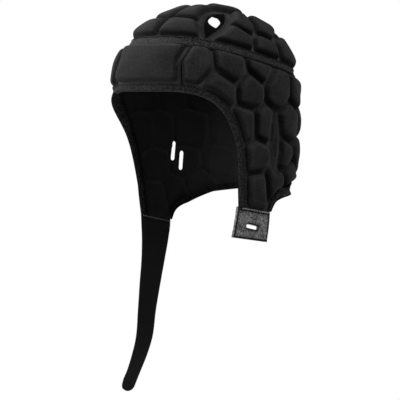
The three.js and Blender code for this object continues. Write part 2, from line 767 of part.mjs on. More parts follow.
const headguard = new THREE.Group();
headguard.add(
  named('brow_panel', toGeometry(browPanel()), CLOTH),
  named('side_panel_left', toGeometry(sidePanel(1)), CLOTH),
  named('side_panel_right', toGeometry(sidePanel(-1)), CLOTH),
  named('crown_panel', toGeometry(crownPanel()), CLOTH),
  named('brow_seam_tape', seamTape(-TAPE.browEnd, TAPE.browEnd), TRIM_CLOTH),
  named('crown_seam_tape', seamTape(TAPE.browEnd + 0.3, 360 - TAPE.browEnd - 0.3), TRIM_CLOTH),
  named('back_seam_tape', backTape(), TRIM_CLOTH),
  named('face_binding', faceBinding(), TRIM_CLOTH),
  named('neck_binding', neckBinding(), TRIM_CLOTH),
  named('strap_tab', toGeometry(strapTab()), COATED_CLOTH),
  named('chin_strap', chinStrap(), STRAP_CLOTH),
);

export default headguard;
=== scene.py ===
"""Dresses a padded rugby headguard: moulded pads, lining, sewn trim, slotted tab and chin strap.

Sizes are millimetres in the headguard's own frame: the wearer faces -Y, the left ear is at +X, +Z is up and
the origin is the middle of the head at the height of the brow edge. Meshes are made in metres.
"""

import logging
import math
from dataclasses import dataclass, field
from enum import Enum
from typing import Callable, ClassVar, Sequence

import bpy
import numpy as np
from mathutils import Euler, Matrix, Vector


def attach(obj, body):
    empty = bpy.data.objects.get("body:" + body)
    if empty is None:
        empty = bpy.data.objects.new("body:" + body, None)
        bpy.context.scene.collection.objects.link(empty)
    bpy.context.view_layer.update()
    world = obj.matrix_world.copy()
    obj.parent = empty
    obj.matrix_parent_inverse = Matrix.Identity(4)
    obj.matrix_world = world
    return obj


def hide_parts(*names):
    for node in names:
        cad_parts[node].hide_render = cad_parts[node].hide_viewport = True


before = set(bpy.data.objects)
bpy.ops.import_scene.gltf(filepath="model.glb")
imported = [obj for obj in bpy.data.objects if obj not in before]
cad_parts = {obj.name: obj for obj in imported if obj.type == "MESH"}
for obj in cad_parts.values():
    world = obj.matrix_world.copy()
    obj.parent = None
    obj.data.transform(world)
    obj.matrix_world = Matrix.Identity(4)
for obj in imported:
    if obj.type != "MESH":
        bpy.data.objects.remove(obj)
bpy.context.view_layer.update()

log = logging.getLogger("headguard")

Array = np.ndarray
Faces = list[tuple[int, ...]]
MM = 0.001
BODY = "root"
WALL = 2.4           # height of the outer cloth between the pads
LINING = 0.5         # height of the lining
GAP = 0.4            # between pieces that are sewn together
TRIM = 0.9           # thickness of tapes and bindings
TRIM_LIFT = 3.0      # height of their underside
TRIM_TOP = TRIM_LIFT + TRIM
INNER_LIFT = -2.3    # height of a binding's inner face, inside the lining
BINDING = 6.4        # how far a binding reaches in from the edge
INNER_LEG = 5.2      # how far it reaches in over the lining
SWELL = 0.35         # how far the middle of a tape or a binding stands over its edges
RIM_MARGIN = 8.4     # bare cloth along a bound edge
TAPE_MARGIN = 5.8    # bare cloth beside the crown's seam
BACK_MARGIN = 6.5    # bare cloth beside the seam down the back
SEAM_MARGIN = 2.4    # bare cloth beside the brow's seams, on the side panels
BROW_MARGIN = 3.8    # bare cloth beside the brow's seams, on the brow
EAR_MARGIN = 1.0     # bare cloth round an ear's oval
FLAP_MARGIN = 4.0    # bare cloth along a flap's end
SHARP_EDGE = 62.0    # degrees over which an edge stays sharp
SNAP = 0.35          # share of a step within which a grid place is moved onto a cut
FAR = 60.0           # a distance past which a border no longer counts
OUTSIDE = 140.0      # well outside the headguard


class Side(Enum):
    """The wearer's left or right, as the sign of x."""

    LEFT = 1
    RIGHT = -1


class Weave(Enum):
    """How a cloth's surface was made, which sets the relief that it shows."""

    KNIT = "fine warp knit"
    HERRINGBONE = "woven herringbone tape"
    BRUSHED = "brushed knit"
    GRAINED = "coated and embossed"
    TWILL = "flat twill"
    TWIST = "twisted thread"


class Slot(Enum):
    """The record's material slots."""

    PAD = "pad_cloth"
    TRIM = "trim_cloth"
    COATED = "coated_cloth"
    STRAP = "strap_cloth"


class Mark(Enum):
    """What a mesh tells its cloth about each place, from 0 to 1."""

    # Wear with a painted highlight on the pads' shoulders, and painted light between the pads and on sealed
    # lines
    RUBBED = "rubbed"
    # Painted shade on the pads' walls, darkest on those that face down
    STRETCHED = "stretched"


# Small helpers


def linear(colour: str) -> tuple[float, float, float, float]:
    """Turns an sRGB hex colour to linear light.

    Args:
        colour: Six hex digits after a hash.

    Returns:
        Linear red, green and blue, with full alpha.
    """
    parts = [int(colour[i:i + 2], 16) / 255 for i in (1, 3, 5)]
    red, green, blue = (c / 12.92 if c <= 0.04045 else ((c + 0.055) / 1.055) ** 2.4 for c in parts)
    return red, green, blue, 1.0


def add_node(tree: bpy.types.NodeTree, kind: str, inputs: dict | None = None,
             **settings: object) -> bpy.types.Node:
    """Adds a node with its settings, its socket values and its links.

    Args:
        tree: The node tree that takes it.
        kind: Blender's name for the kind of node.
        inputs: Values for input sockets, or output sockets to link them to.
        **settings: The node's own properties.

    Returns:
        The new node.
    """
    made = tree.nodes.new(kind)
    for name, value in settings.items():
        setattr(made, name, value)
    for name, value in (inputs or {}).items():
        if isinstance(value, bpy.types.NodeSocket):
            tree.links.new(value, made.inputs[name])
        else:
            made.inputs[name].default_value = value
    return made


def add_object(name: str, data: bpy.types.ID) -> bpy.types.Object:
    """Puts a mesh, a lamp or a camera into the scene.

    Args:
        name: The object's name.
        data: What it shows.

    Returns:
        The object.
    """
    made = bpy.data.objects.new(name, data)
    bpy.context.scene.collection.objects.link(made)
    return made


def unit(directions: Array) -> Array:
    """Directions with a length of 1."""
    return directions / np.linalg.norm(directions, axis=-1, keepdims=True)


def smooth_step(share: Array) -> Array:
    """Eases shares at 0 and at 1, and holds them there."""
    t = np.clip(share, 0, 1)
    return t * t * (3 - 2 * t)


def hump(at: Array, height: Array | float, middle: float, spread: Array | float) -> Array:
    """Smooth humps of a height around a middle."""
    return height * np.exp(-((at - middle) / spread) ** 2)


def smooth_least(rooms: Array, softness: float) -> Array:
    """Least value of each row, rounded where two values are alike.

    Args:
        rooms: One row for each place and one column for each border.
        softness: How far the rounding reaches, in mm.

    Returns:
        One value for each row.
    """
    least = rooms.min(axis=1)
    spread = np.exp(-np.clip((rooms - least[:, None]) / softness, 0, 40)).sum(axis=1)
    return least - softness * np.log(spread)


def bisected(low: Array, high: Array, short: Callable[[Array], Array]) -> Array:
    """Highest values between two bounds that still fall short.

    Args:
        low: Values that fall short.
        high: Values that don't.
        short: Says which values fall short.

    Returns:
        The values, to far under a micron.
    """
    for _ in range(40):
        middle = (low + high) / 2
        falls = short(middle)
        low, high = np.where(falls, middle, low), np.where(falls, high, middle)
    return low


def line_distance(places: Array, line: Array) -> Array:
    """Distance of each place from a line of straight pieces.

    Args:
        places: Places, one to a row.
        line: The line's corners, one to a row, in as many directions as the places.

    Returns:
        One distance for each place.
    """
    best = np.full(len(places), np.inf)
    for start, end in zip(line[:-1], line[1:]):
        along = end - start
        share = np.clip((places - start) @ along / max(float(along @ along), 1e-9), 0, 1)
        best = np.minimum(best, np.linalg.norm(places - start - share[:, None] * along, axis=1))
    return best


def inside(places: Array, outline: Array) -> Array:
    """Says which flat places lie in a closed outline.

    Args:
        places: Flat places, one to a row.
        outline: The outline's corners in order.

    Returns:
        True for each place that lies inside.
    """
    within = np.zeros(len(places), dtype=bool)
    for (ax, ay), (bx, by) in zip(outline, np.roll(outline, -1, axis=0)):
        crosses = (ay > places[:, 1]) != (by > places[:, 1])
        if crosses.any():
            reach = ax + (places[:, 1] - ay) * (bx - ax) / (by - ay if by != ay else 1e-9)
            within ^= crosses & (places[:, 0] < reach)
    return within


def bend(start: Sequence[float], middle: Sequence[float], end: Sequence[float], steps: int = 40) -> Array:
    """Places along a quadratic curve.

    Args:
        start: Its first place.
        middle: The place that it bends towards.
        end: Its last place.
        steps: How many pieces it has.

    Returns:
        The places, one to a row.
    """
    t = np.linspace(0, 1, steps + 1)[:, None]
    a, b, c = (np.asarray(p, dtype=float) for p in (start, middle, end))
    return (1 - t) ** 2 * a + 2 * t * (1 - t) * b + t ** 2 * c


def reach_along(line: Array) -> Array:
    """Distance of each of a line's corners from its start."""
    return np.concatenate([[0], np.cumsum(np.linalg.norm(np.diff(line, axis=0), axis=1))])


def at_reach(line: Array, reach: Array, at: Array) -> Array:
    """Values along a line at distances from its start."""
    return np.stack([np.interp(at, reach, line[:, k]) for k in range(line.shape[1])], axis=1)


def respaced(line: Array, step: float) -> Array:
    """Places at even steps along a line, about as long as asked, with both ends kept."""
    reach = reach_along(line)
    return at_reach(line, reach, np.linspace(0, reach[-1], max(2, round(reach[-1] / step) + 1)))


def slot_axis(middle: Sequence[float], length: float, width: float, tilt: float) -> Array:
    """The middles of a slot's two round ends.

    Args:
        middle: The slot's middle.
        length: Its whole length.
        width: Its width.
        tilt: Its tilt in degrees.

    Returns:
        The two places, one to a row.
    """
    turn = math.radians(tilt)
    half = np.array([math.cos(turn), math.sin(turn)]) * (length - width) / 2
    return np.array([middle - half, middle + half])


def trimmed_grid(u: Array, v: Array, room: Callable[[Array, Array], Array]) -> tuple[Array, Faces]:
    """Cuts a square grid to where there is room, with its border on the line where the room ends.

    Args:
        u: Even steps in the first direction.
        v: Even steps in the second direction.
        room: Gives the room at places (u, v), above nought inside the piece.

    Returns:
        The kept places, one (u, v) to a row, and the faces between them.
    """
    grid_u, grid_v = np.meshgrid(u, v, indexing="ij")
    left = room(grid_u.ravel(), grid_v.ravel()).reshape(grid_u.shape)
    slope_u, slope_v = np.gradient(left, u[1] - u[0], v[1] - v[0])
    steep = slope_u ** 2 + slope_v ** 2 + 1e-6
    near = np.abs(left) < SNAP * (u[1] - u[0]) * np.sqrt(steep)
    moved = [np.where(near, grid - left * slope / steep, grid).ravel()
             for grid, slope in ((grid_u, slope_u), (grid_v, slope_v))]
    places = np.stack(moved, axis=1)
    index = np.arange(left.size).reshape(left.shape)
    left = np.where(near, 0.0, left).ravel()
    cells = np.stack([index[:-1, :-1], index[1:, :-1], index[1:, 1:], index[:-1, 1:]], axis=-1).reshape(-1, 4)
    some = (left[cells] > 0).any(axis=1)
    whole = some & (left[cells] >= 0).all(axis=1)
    faces: Faces = [tuple(int(i) for i in cell) for cell in cells[whole]]
    crossings: dict[tuple[int, int], int] = {}
    extra: list[Array] = []
    for cell in cells[some & ~whole].tolist():
        face = []
        for a, b in zip(cell, cell[1:] + cell[:1]):
            if left[a] >= 0:
                face.append(a)
            if left[a] * left[b] < 0:
                key = (min(a, b), max(a, b))
                if key not in crossings:
                    crossings[key] = left.size + len(extra)
                    extra.append(places[a] + left[a] / (left[a] - left[b]) * (places[b] - places[a]))
                face.append(crossings[key])
        if len(face) > 2:
            faces.append(tuple(face))
    everything = np.vstack([places, *extra])
    used = np.unique(np.concatenate([np.array(face) for face in faces]))
    renumber = np.full(len(everything), -1)
    renumber[used] = np.arange(len(used))
    return everything[used], [tuple(int(renumber[i]) for i in face) for face in faces]


def doubled(faces: Faces, count: int) -> tuple[Faces, Faces]:
    """Faces of a second cloth behind a first one, and of the edge that joins the two.

    Args:
        faces: The first cloth's faces.
        count: How many places it has. The second cloth's places follow them in the same order.

    Returns:
        The second cloth's faces, and the edge's.
    """
    edges = {(a, b) for face in faces for a, b in zip(face, face[1:] + face[:1])}
    behind = [tuple(i + count for i in reversed(face)) for face in faces]
    return behind, [(b, a, a + count, b + count) for a, b in edges if (b, a) not in edges]


def tube_faces(rings: int, count: int) -> Faces:
    """Faces of a tube with both ends closed.

    Args:
        rings: How many rings it has.
        count: How many places each ring has.

    Returns:
        The faces as corner numbers.
    """
    faces: Faces = []
    for r in range(rings - 1):
        for i in range(count):
            a, b = r * count + i, r * count + (i + 1) % count
            faces.append((a, b, b + count, a + count))
    return [*faces, tuple(reversed(range(count))), tuple(range((rings - 1) * count, rings * count))]


# Finishes


@dataclass(frozen=True)
class Finish:
    """A cloth or thread: what it is, how it was made, and what that gives the eye.

    Attributes:
        name: Common name of the material and how it was made.
        weave: How the surface was made.
        deep: sRGB colour in the hollows of the weave.
        face: sRGB colour on top of the weave.
        roughness: Roughness of the fibres.
        sheen: How much the loose fibres light up at grazing angles.
        pitch: Spacing of the weave in mm.
        relief: Height of the weave in mm.
        gloss: Strength of the fibres' own reflection, where 0.5 is smooth plastic.
        mottle: Size in mm of the slow change in colour from wear and handling. On the coated cloth it swings
            wide enough to paint glints.
        worn_and_lit: sRGB colour of wear and painted light on the pads' shoulders, between them and on sealed
            lines.
        painted_shade: sRGB colour of the painted shade on the pads' walls.
    """

    name: str
    weave: Weave
    deep: str
    face: str
    roughness: float
    sheen: float
    pitch: float
    relief: float
    gloss: float = 0.1
    mottle: float = 24.0
    worn_and_lit: str = ""
    painted_shade: str = ""

    def _relief(self, tree: bpy.types.NodeTree) -> bpy.types.NodeSocket:
        """Draws the weave.

        Args:
            tree: The material's node tree.

        Returns:
            The height of the weave, from 0 to 1.
        """
        place = add_node(tree, "ShaderNodeUVMap", uv_map="flat").outputs["UV"]
        # The flat map is in metres
        scale = 1 / (self.pitch * MM)
        if self.weave in (Weave.GRAINED, Weave.KNIT):
            uneven = 1.0 if self.weave is Weave.GRAINED else 0.6
            return add_node(tree, "ShaderNodeTexVoronoi", {"Vector": place, "Scale": scale,
                            "Randomness": uneven}, feature="SMOOTH_F1",
                            voronoi_dimensions="2D").outputs["Distance"]
        if self.weave is Weave.BRUSHED:
            return add_node(tree, "ShaderNodeTexNoise", {"Vector": place, "Scale": scale, "Detail": 3.0,
                            "Roughness": 0.6}, noise_dimensions="2D").outputs["Fac"]
        parts = add_node(tree, "ShaderNodeSeparateXYZ", {"Vector": place})
        along, across = parts.outputs["X"], parts.outputs["Y"]
        # A twill's ribs all lean one way. A herringbone's lean the other way past its middle.
        lean = across
        if self.weave is Weave.HERRINGBONE:
            lean = add_node(tree, "ShaderNodeMath", {0: across}, operation="ABSOLUTE").outputs[0]
        lean = add_node(tree, "ShaderNodeMath", {0: along, 1: lean}, operation="ADD").outputs[0]
        place = add_node(tree, "ShaderNodeCombineXYZ", {"X": lean, "Y": across}).outputs[0]
        # A wave repeats every 0.314 of its coordinate divided by its scale
        ribs = add_node(tree, "ShaderNodeTexWave", {"Vector": place, "Scale": 0.3142 * scale, "Distortion": 1.2,
                        "Detail": 2.0, "Detail Scale": 1.5}, bands_direction="X").outputs["Fac"]
        if self.weave is not Weave.HERRINGBONE:
            return ribs
        # Specks a little smaller than the ribs, at full contrast, break a worn tape's ribs up
        specks = add_node(tree, "ShaderNodeTexNoise", {"Vector": place, "Scale": 1.3 * scale, "Detail": 1.0,
                          "Roughness": 0.6}, noise_dimensions="2D").outputs["Fac"]
        specks = add_node(tree, "ShaderNodeMath", {0: specks, 1: 4.4, 2: -1.95},
                          operation="MULTIPLY_ADD").outputs[0]
        return add_node(tree, "ShaderNodeMath", {0: ribs, 1: 0.5, 2: specks}, operation="MULTIPLY_ADD",
                        use_clamp=True).outputs[0]

    def material(self) -> bpy.types.Material:
        """Makes the material once and gives it again after that.

        Returns:
            The material.
        """
        if self.name in bpy.data.materials:
            return bpy.data.materials[self.name]
        made = bpy.data.materials.new(self.name)
        made.use_nodes = True
        tree = made.node_tree
        tree.nodes.clear()
        height = self._relief(tree)
        flat = add_node(tree, "ShaderNodeUVMap", uv_map="flat").outputs["UV"]
        cloud = add_node(tree, "ShaderNodeTexNoise", {"Vector": flat, "Scale": 1 / (self.mottle * MM),
                         "Detail": 4.0, "Roughness": 0.62}, noise_dimensions="2D").outputs["Fac"]
        blend = add_node(tree, "ShaderNodeMath", {0: height, 1: -0.5}, operation="ADD").outputs[0]
        share = add_node(tree, "ShaderNodeMath", {0: cloud, 1: blend}, operation="ADD",
                         use_clamp=True).outputs[0]
        colour = add_node(tree, "ShaderNodeMix", {"Factor": share, 6: linear(self.deep), 7: linear(self.face)},
                          data_type="RGBA").outputs[2]
        # Paints the marks into the colour: wear and painted light from the first, painted shade from the second
        for mark, tone in ((Mark.RUBBED, self.worn_and_lit), (Mark.STRETCHED, self.painted_shade)):
            if not tone:
                continue
            amount = add_node(tree, "ShaderNodeAttribute", attribute_name=mark.value).outputs["Fac"]
            # The wear and painted light come in patches, following the mottle
            if mark is Mark.RUBBED:
                amount = add_node(tree, "ShaderNodeMath", {0: amount, 1: cloud},
                                  operation="MULTIPLY").outputs[0]
            colour = add_node(tree, "ShaderNodeMix", {"Factor": amount, 6: colour, 7: linear(tone)},
                              data_type="RGBA").outputs[2]
        rough = add_node(tree, "ShaderNodeMapRange", {"Value": cloud, "From Min": 0.3, "From Max": 0.7,
                         "To Min": self.roughness - 0.07, "To Max": self.roughness + 0.05}).outputs[0]
        bump = add_node(tree, "ShaderNodeBump", {"Height": height, "Strength": 0.6,
                        "Distance": self.relief * MM}).outputs["Normal"]
        surface = add_node(tree, "ShaderNodeBsdfPrincipled", {
            "Base Color": colour, "Roughness": rough, "Normal": bump, "IOR": 1.5,
            "Specular IOR Level": self.gloss, "Sheen Weight": self.sheen, "Sheen Roughness": 0.45})
        add_node(tree, "ShaderNodeOutputMaterial", {"Surface": surface.outputs["BSDF"]})
        return made


# A matt black knit stretched over foam. Its loops are about 0.5 mm, too fine for the render, so they are drawn
# at 2.1 mm. The bare cloth between the pads is painted greyer, a painted light, and their walls darker, a
# painted shade; their shoulders are a little lighter from wear and a painted highlight.
PAD_KNIT = Finish("polyester warp knit, heat-bonded to foam", Weave.KNIT, "#0f0f10", "#242425", 0.84, 0.04,
                  2.1, 0.30, 0.06, worn_and_lit="#323234", painted_shade="#040405")
# A brushed knit backing: soft, darker and without a weave that shows. Its sealed lines between the pads are
# painted paler, a painted light.
LINING_KNIT = Finish("polyester knit lining, brushed", Weave.BRUSHED, "#121213", "#1d1d1e", 0.92, 0.02,
                     1.6, 0.10, 0.04, worn_and_lit="#262628")
# A woven edge tape: ribs of about 1 mm that meet along the middle, drawn at 2.6 mm and worn into specks.
EDGE_TAPE = Finish("polyester herringbone tape, woven", Weave.HERRINGBONE, "#040405", "#222224", 0.80, 0.04,
                   2.6, 0.45, 0.08, 14.0)
# A darker, duller copy of the edge tape for a binding's inner leg, standing in for the shade inside the edge:
# painted shade.
EDGE_TAPE_SHADED = Finish("polyester herringbone tape, brushed inside", Weave.HERRINGBONE, "#040405", "#151516", 0.9,
                   0.0, 2.8, 0.30, 0.02, 14.0)
# The seams' own tape has the same specked weave in a greyer, flatter band that catches the light.
SEAM_TAPE = Finish("polyester seam tape, woven", Weave.HERRINGBONE, "#030304", "#28282a", 0.76, 0.04,
                   2.6, 0.45, 0.08, 14.0)
# A grey coated cloth. Its embossed grain, about 1.5 mm across and drawn at 2.2 mm, breaks up its dull gloss.
# Its colour swings from dark to pale over an 11 mm mottle: painted glints on top of its own uneven tone.
COATED_CLOTH = Finish("polyurethane-coated cloth, embossed", Weave.GRAINED, "#232325", "#8a8a8c", 0.40, 0.0,
                      2.2, 0.45, 0.40, 11.0)
# A tight flat twill with hardly any relief, duller than the tapes. Its 0.4 mm lines are drawn at 1.2 mm.
STRAP_TWILL = Finish("polyester twill strap, laminated", Weave.TWILL, "#101011", "#18181a", 0.72, 0.01,
                     1.2, 0.06, 0.04)
# Bonded sewing thread, twisted, in black and in a pale grey that shows on the zigzag seams.
BLACK_THREAD = Finish("black bonded thread, twisted", Weave.TWIST, "#020202", "#080808", 0.7, 0.02,
                      0.9, 0.12, 0.1)
PALE_THREAD = Finish("pale grey bonded thread, twisted", Weave.TWIST, "#585857", "#a4a4a2", 0.6, 0.1,
                     0.9, 0.12, 0.2)


# The head form and the edges


@dataclass(frozen=True)
class HeadForm:
    """The rounded form that the headguard sits on, with its half axes and the powers of its outlines."""

    side: float = 74.0
    front: float = 93.0
    back: float = 90.0
    top: float = 82.0
    below: float = 203.0
    nape: float = 150.0
    plan: float = 2.7
    dome: float = 2.1
    flank: float = 3.6
    nape_from: float = 95.0
    nape_to: float = 150.0

    @property
    def unroll(self) -> float:
        """Radius that turns a bearing to a distance on the unrolled form."""
        return (self.side + self.front) / 2

    def _depth(self, x: Array, y: Array, lift: Array | float) -> Array:
        """How far the form reaches below the origin at a bearing."""
        past = np.degrees(np.arctan2(np.abs(x), -y)) - self.nape_from
        return self.below + lift + (self.nape - self.below) * smooth_step(
            past / (self.nape_to - self.nape_from))

    def share(self, places: Array, lift: Array | float) -> Array:
        """Size of the form through each place.

        Args:
            places: Places, with x, y and z last.
            lift: Height of the form that counts as 1.

        Returns:
            One size for each place.
        """
        x, y, z = places[..., 0], places[..., 1], places[..., 2]
        lengthwise = np.where(y < 0, self.front, self.back) + lift
        plan = ((np.abs(x) / (self.side + lift)) ** self.plan
                + (np.abs(y) / lengthwise) ** self.plan) ** (1 / self.plan)
        power = np.where(z > 0, self.dome, self.flank)
        tall = np.where(z > 0, self.top + lift, self._depth(x, y, lift))
        return (plan ** power + (np.abs(z) / tall) ** power) ** (1 / power)

    def on_form(self, places: Array, lift: Array | float) -> Array:
        """Moves places in line with the origin onto the form at a height."""
        return places / self.share(places, lift)[..., None]

    def at_bearing(self, bearing: Array, z: Array, lift: Array | float) -> Array:
        """Places on the form at bearings from the brow and heights.

        Args:
            bearing: Bearings in radians, towards the left ear.
            z: Heights above the origin.
            lift: Height above the lining's inside face.

        Returns:
            Places, with x, y and z last.
        """
        bearing, z, lift = np.broadcast_arrays(bearing, z, lift)
        out = np.stack([np.sin(bearing), -np.cos(bearing), np.zeros_like(z, dtype=float)], axis=-1)
        power = np.where(z > 0, self.dome, self.flank)
        tall = np.where(z > 0, self.top + lift, self._depth(out[..., 0], out[..., 1], lift))
        left = np.clip(1 - (np.abs(z) / tall) ** power, 1e-6, 1) ** (1 / power)
        places = out * (left / self.share(out, lift))[..., None]
        places[..., 2] = z
        return places

    def bearing_of(self, y: Array, z: Array, lift: float) -> Array:
        """Bearings at which places of the side view meet the form's left half.

        Args:
            y: Places along the back.
            z: Heights.
            lift: Height of the form.

        Returns:
            Bearings in radians.
        """
        widest = np.full_like(y, self.side + lift, dtype=float)
        x = bisected(np.zeros_like(widest), widest,
                     lambda middle: self.share(np.stack([middle, y, z], axis=-1), lift) < 1)
        return np.arctan2(x, -y)

    def normal(self, places: Array) -> Array:
        """Outward directions of the form at places."""
        steps = 0.5 * np.eye(3)
        return unit(np.stack([self.share(places + s, 0) - self.share(places - s, 0) for s in steps], axis=-1))

    def plane_room(self, places: Array, normals: Array, plane: Array, through: Array) -> Array:
        """Distance along the form from places to where a plane cuts it.

        Args:
            places: Places on the form.
            normals: The form's directions there.
            plane: The plane's direction, out of the piece.
            through: A place in the plane.

        Returns:
            One distance for each place, above nought on the inner side.
        """
        plane = unit(plane)
        tilt = np.linalg.norm(plane - normals * (normals @ plane)[:, None], axis=1)
        return -((places - through) @ plane) / np.maximum(tilt, 0.15)


FORM = HeadForm()
SEAM_HEIGHT, SEAM_FALL = 34.6, 0.223
SEAM_PLANE = np.array([0.0, SEAM_FALL, 1.0])
SEAM_FOOT = np.array([0.0, 0.0, SEAM_HEIGHT])
# Foot, bend and head of the seam beside the brow pad: bearing in degrees and height
BROW_SEAM = ((28.0, 2.0), (26.6, 29.0), (32.4, 45.0))


def crown_height(bearing: Array) -> Array:
    """Heights of the crown's seam.

    Args:
        bearing: Bearings in radians.

    Returns:
        One height for each bearing.
    """
    z = np.full_like(bearing, SEAM_HEIGHT, dtype=float)
    for _ in range(30):
        z = SEAM_HEIGHT - SEAM_FALL * FORM.at_bearing(bearing, z, WALL)[..., 1]
    return z


def crown_room(places: Array, normals: Array) -> Array:
    """Distance along the form from places up to the crown's seam, above nought below it."""
    return FORM.plane_room(places, normals, SEAM_PLANE, SEAM_FOOT)


def brow_room(side: Side, places: Array, normals: Array) -> Array:
    """Distance along the form from places in the brow to the bent seam beside it.

    Args:
        side: The seam's side.
        places: Places on the form.
        normals: The form's directions there.

    Returns:
        One distance for each place, above nought in the brow.
    """
    mirror = np.array([side.value, 1, 1])
    line = [FORM.at_bearing(np.radians(b), np.array(z), 0.0) * mirror for b, z in BROW_SEAM]
    rooms = [FORM.plane_room(places, normals, np.cross(head, foot) * side.value, np.zeros(3))
             for foot, head in zip(line, line[1:])]
    return np.maximum(*rooms)


@dataclass(frozen=True)
class EdgeLine:
    """The headguard's edge on one side, seen from that side as (y, z)."""

    side: Side
    # Each bend or corner on the left: y, z, and how far back and down it lies on the right, drawn by the strap
    rows: ClassVar[dict[str, tuple[float, float, float, float]]] = {
        "brow_end": (-91, 2, 0, 0), "face_bend": (-43, -3, 1, 12.6), "cheek": (-32, -63, 5, 37),
        "flap_front": (-27, -116.5, 2, 14), "flap_rear": (17, -125, -2.8, 15), "neck_foot": (20, -117, -1, 15),
        "neck_bend": (22, -109, 2, 15), "neck_start": (34, -107, 5, 13), "neck_rear": (66, -101, 0, 7),
        "nape": (84, -101, 0, 0),
    }

    def __getitem__(self, name: str) -> Array:
        """One bend or corner as (y, z)."""
        y, z, back, lower = self.rows[name]
        return np.array([y + back, z - lower] if self.side is Side.RIGHT else [y, z], dtype=float)

    def face(self) -> Array:
        """The face opening's edge from the brow to the flap."""
        return np.vstack([bend(self["brow_end"], self["face_bend"], self["cheek"]), self["flap_front"]])

    def neck(self) -> Array:
        """The neck's edge from the flap's rear corner to the nape."""
        turn = bend(self["neck_foot"], self["neck_bend"], self["neck_start"])
        return np.vstack([self["flap_rear"], turn, self["neck_rear"], self["nape"]])

    def outline(self) -> Array:
        """The whole area above the edge, closed far outside the headguard."""
        ends = [[OUTSIDE, self["nape"][1]], [OUTSIDE, OUTSIDE], [-OUTSIDE, OUTSIDE],
                [-OUTSIDE, self["brow_end"][1]]]
        return np.vstack([self.face(), self.neck(), ends])

    def wrapped(self, line: Array) -> Array:
        """Puts a line of the side view onto the form, and on round the nape if it ends there.

        Args:
            line: Places as (y, z).

        Returns:
            Places as x, y and z.
        """
        y, z = respaced(line, 2.0).T
        bearing = FORM.bearing_of(y, z, WALL)
        if np.allclose(line[-1], self["nape"]):
            behind = np.linspace(bearing[-1], math.pi, 8)
            bearing, z = np.append(bearing, behind), np.append(z, np.full_like(behind, z[-1]))
        return FORM.at_bearing(bearing * self.side.value, z, WALL)

    def room(self, places: Array, line: Array) -> Array:
        """Distance of places on this side from part of the edge, above nought inside.

        Args:
            places: Places on the form.
            line: The part of the edge, as (y, z).

        Returns:
            One distance for each place.
        """
        apart = line_distance(places, self.wrapped(line))
        return np.where(inside(places[:, 1:], self.outline()), apart, -apart)


# Pieces


def dressed(name: str, places: Array, faces: Faces, flat: Array, finishes: Sequence[Finish],
            chosen: Array | None = None, marks: dict[Mark, Array] | None = None) -> bpy.types.Object:
    """Makes a mesh object with its flat map and materials, on the headguard's body.

    Args:
        name: The piece's name.
        places: Places in mm.
        faces: Faces as corner numbers.
        flat: Where each place lies on the flat cloth, in mm.
        finishes: Its finishes.
        chosen: Which finish each face has.
        marks: What the finishes are told about each place.

    Returns:
        The object.
    """
    mesh = bpy.data.meshes.new(name)
    mesh.from_pydata((places * MM).tolist(), [], faces)
    corners = np.zeros(len(mesh.loops), dtype=np.int32)
    mesh.loops.foreach_get("vertex_index", corners)
    mesh.uv_layers.new(name="flat").data.foreach_set("uv", (flat[corners] * MM).astype(np.float32).ravel())
    for mark, amounts in (marks or {}).items():
        layer = mesh.attributes.new(mark.value, "FLOAT", "POINT")
        layer.data.foreach_set("value", amounts.astype(np.float32))
    for finish in finishes:
        mesh.materials.append(finish.material())
    if chosen is not None:
        mesh.polygons.foreach_set("material_index", chosen.astype(np.int32))
    mesh.shade_smooth()
    mesh.set_sharp_from_angle(angle=math.radians(SHARP_EDGE))
    made = add_object(name, mesh)
    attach(made, BODY)
    return made


@dataclass
class PadField:
    """Moulded foam pads set out around their middles, each with a rounded shoulder and a crowned face.

    Attributes:
        middles: The pads' middles on the form.
        groove: Bare cloth between two pads.
        wall: Height of a pad's shoulder over the cloth.
        crown: How much higher its middle is.
        shoulder: Width of the rounded shoulder.
        reach: Distance in from its foot at which a pad is at its highest.
        softness: Rounding of its corners.
        bulge: Powers of the shoulder's curve.
    """

    middles: Array
    groove: float = 3.8
    wall: float = 6.4
    crown: float = 1.2
    shoulder: float = 6.5
    reach: float = 13.0
    softness: float = 1.1
    bulge: tuple[float, float] = (2.2, 0.55)

    def _square(self, places: Array) -> Array:
        """Square of each place's distance from each pad's middle."""
        return ((places[:, None, :] - self.middles[None]) ** 2).sum(axis=2)

    def cell_room(self, places: Array) -> Array:
        """Distances of places from the lines half way to each of the other pads.

        Args:
            places: Places on the form.

        Returns:
            One row for each place and one column for each pad.
        """
        square = self._square(places)
        own = square.argmin(axis=1)
        apart = np.linalg.norm(self.middles[:, None] - self.middles[None], axis=2)[own]
        least = square[np.arange(len(places)), own][:, None]
        return np.where(apart > 0, (square - least) / (2 * np.maximum(apart, 1e-6)), np.inf)

    def drop(self, places: Array) -> Array:
        """How far places lie behind the flat plane that touches the form at their pad's middle."""
        own = self.middles[self._square(places).argmin(axis=1)]
        return -((places - own) * FORM.normal(own)).sum(axis=1)

    def room(self, places: Array, borders: Sequence[Array]) -> Array:
        """Distance of places in from their pad's foot, below nought on the bare cloth.

        Args:
            places: Places on the form.
            borders: For each border, the distance that is left after its margin.

        Returns:
            One distance for each place.
        """
        grooves = np.minimum(self.cell_room(places) - self.groove / 2, FAR)
        return smooth_least(np.column_stack([grooves, *borders]), self.softness)

    def rise(self, room: Array) -> Array:
        """Height of a pad over the cloth.

        Args:
            room: Distances in from its foot.

        Returns:
            One height for each distance.
        """
        edge, middle = np.clip(room / self.shoulder, 0, 1), np.clip(room / self.reach, 0, 1)
        first, second = self.bulge
        return self.wall * (1 - (1 - edge) ** first) ** second + self.crown * (1 - (1 - middle) ** 2)


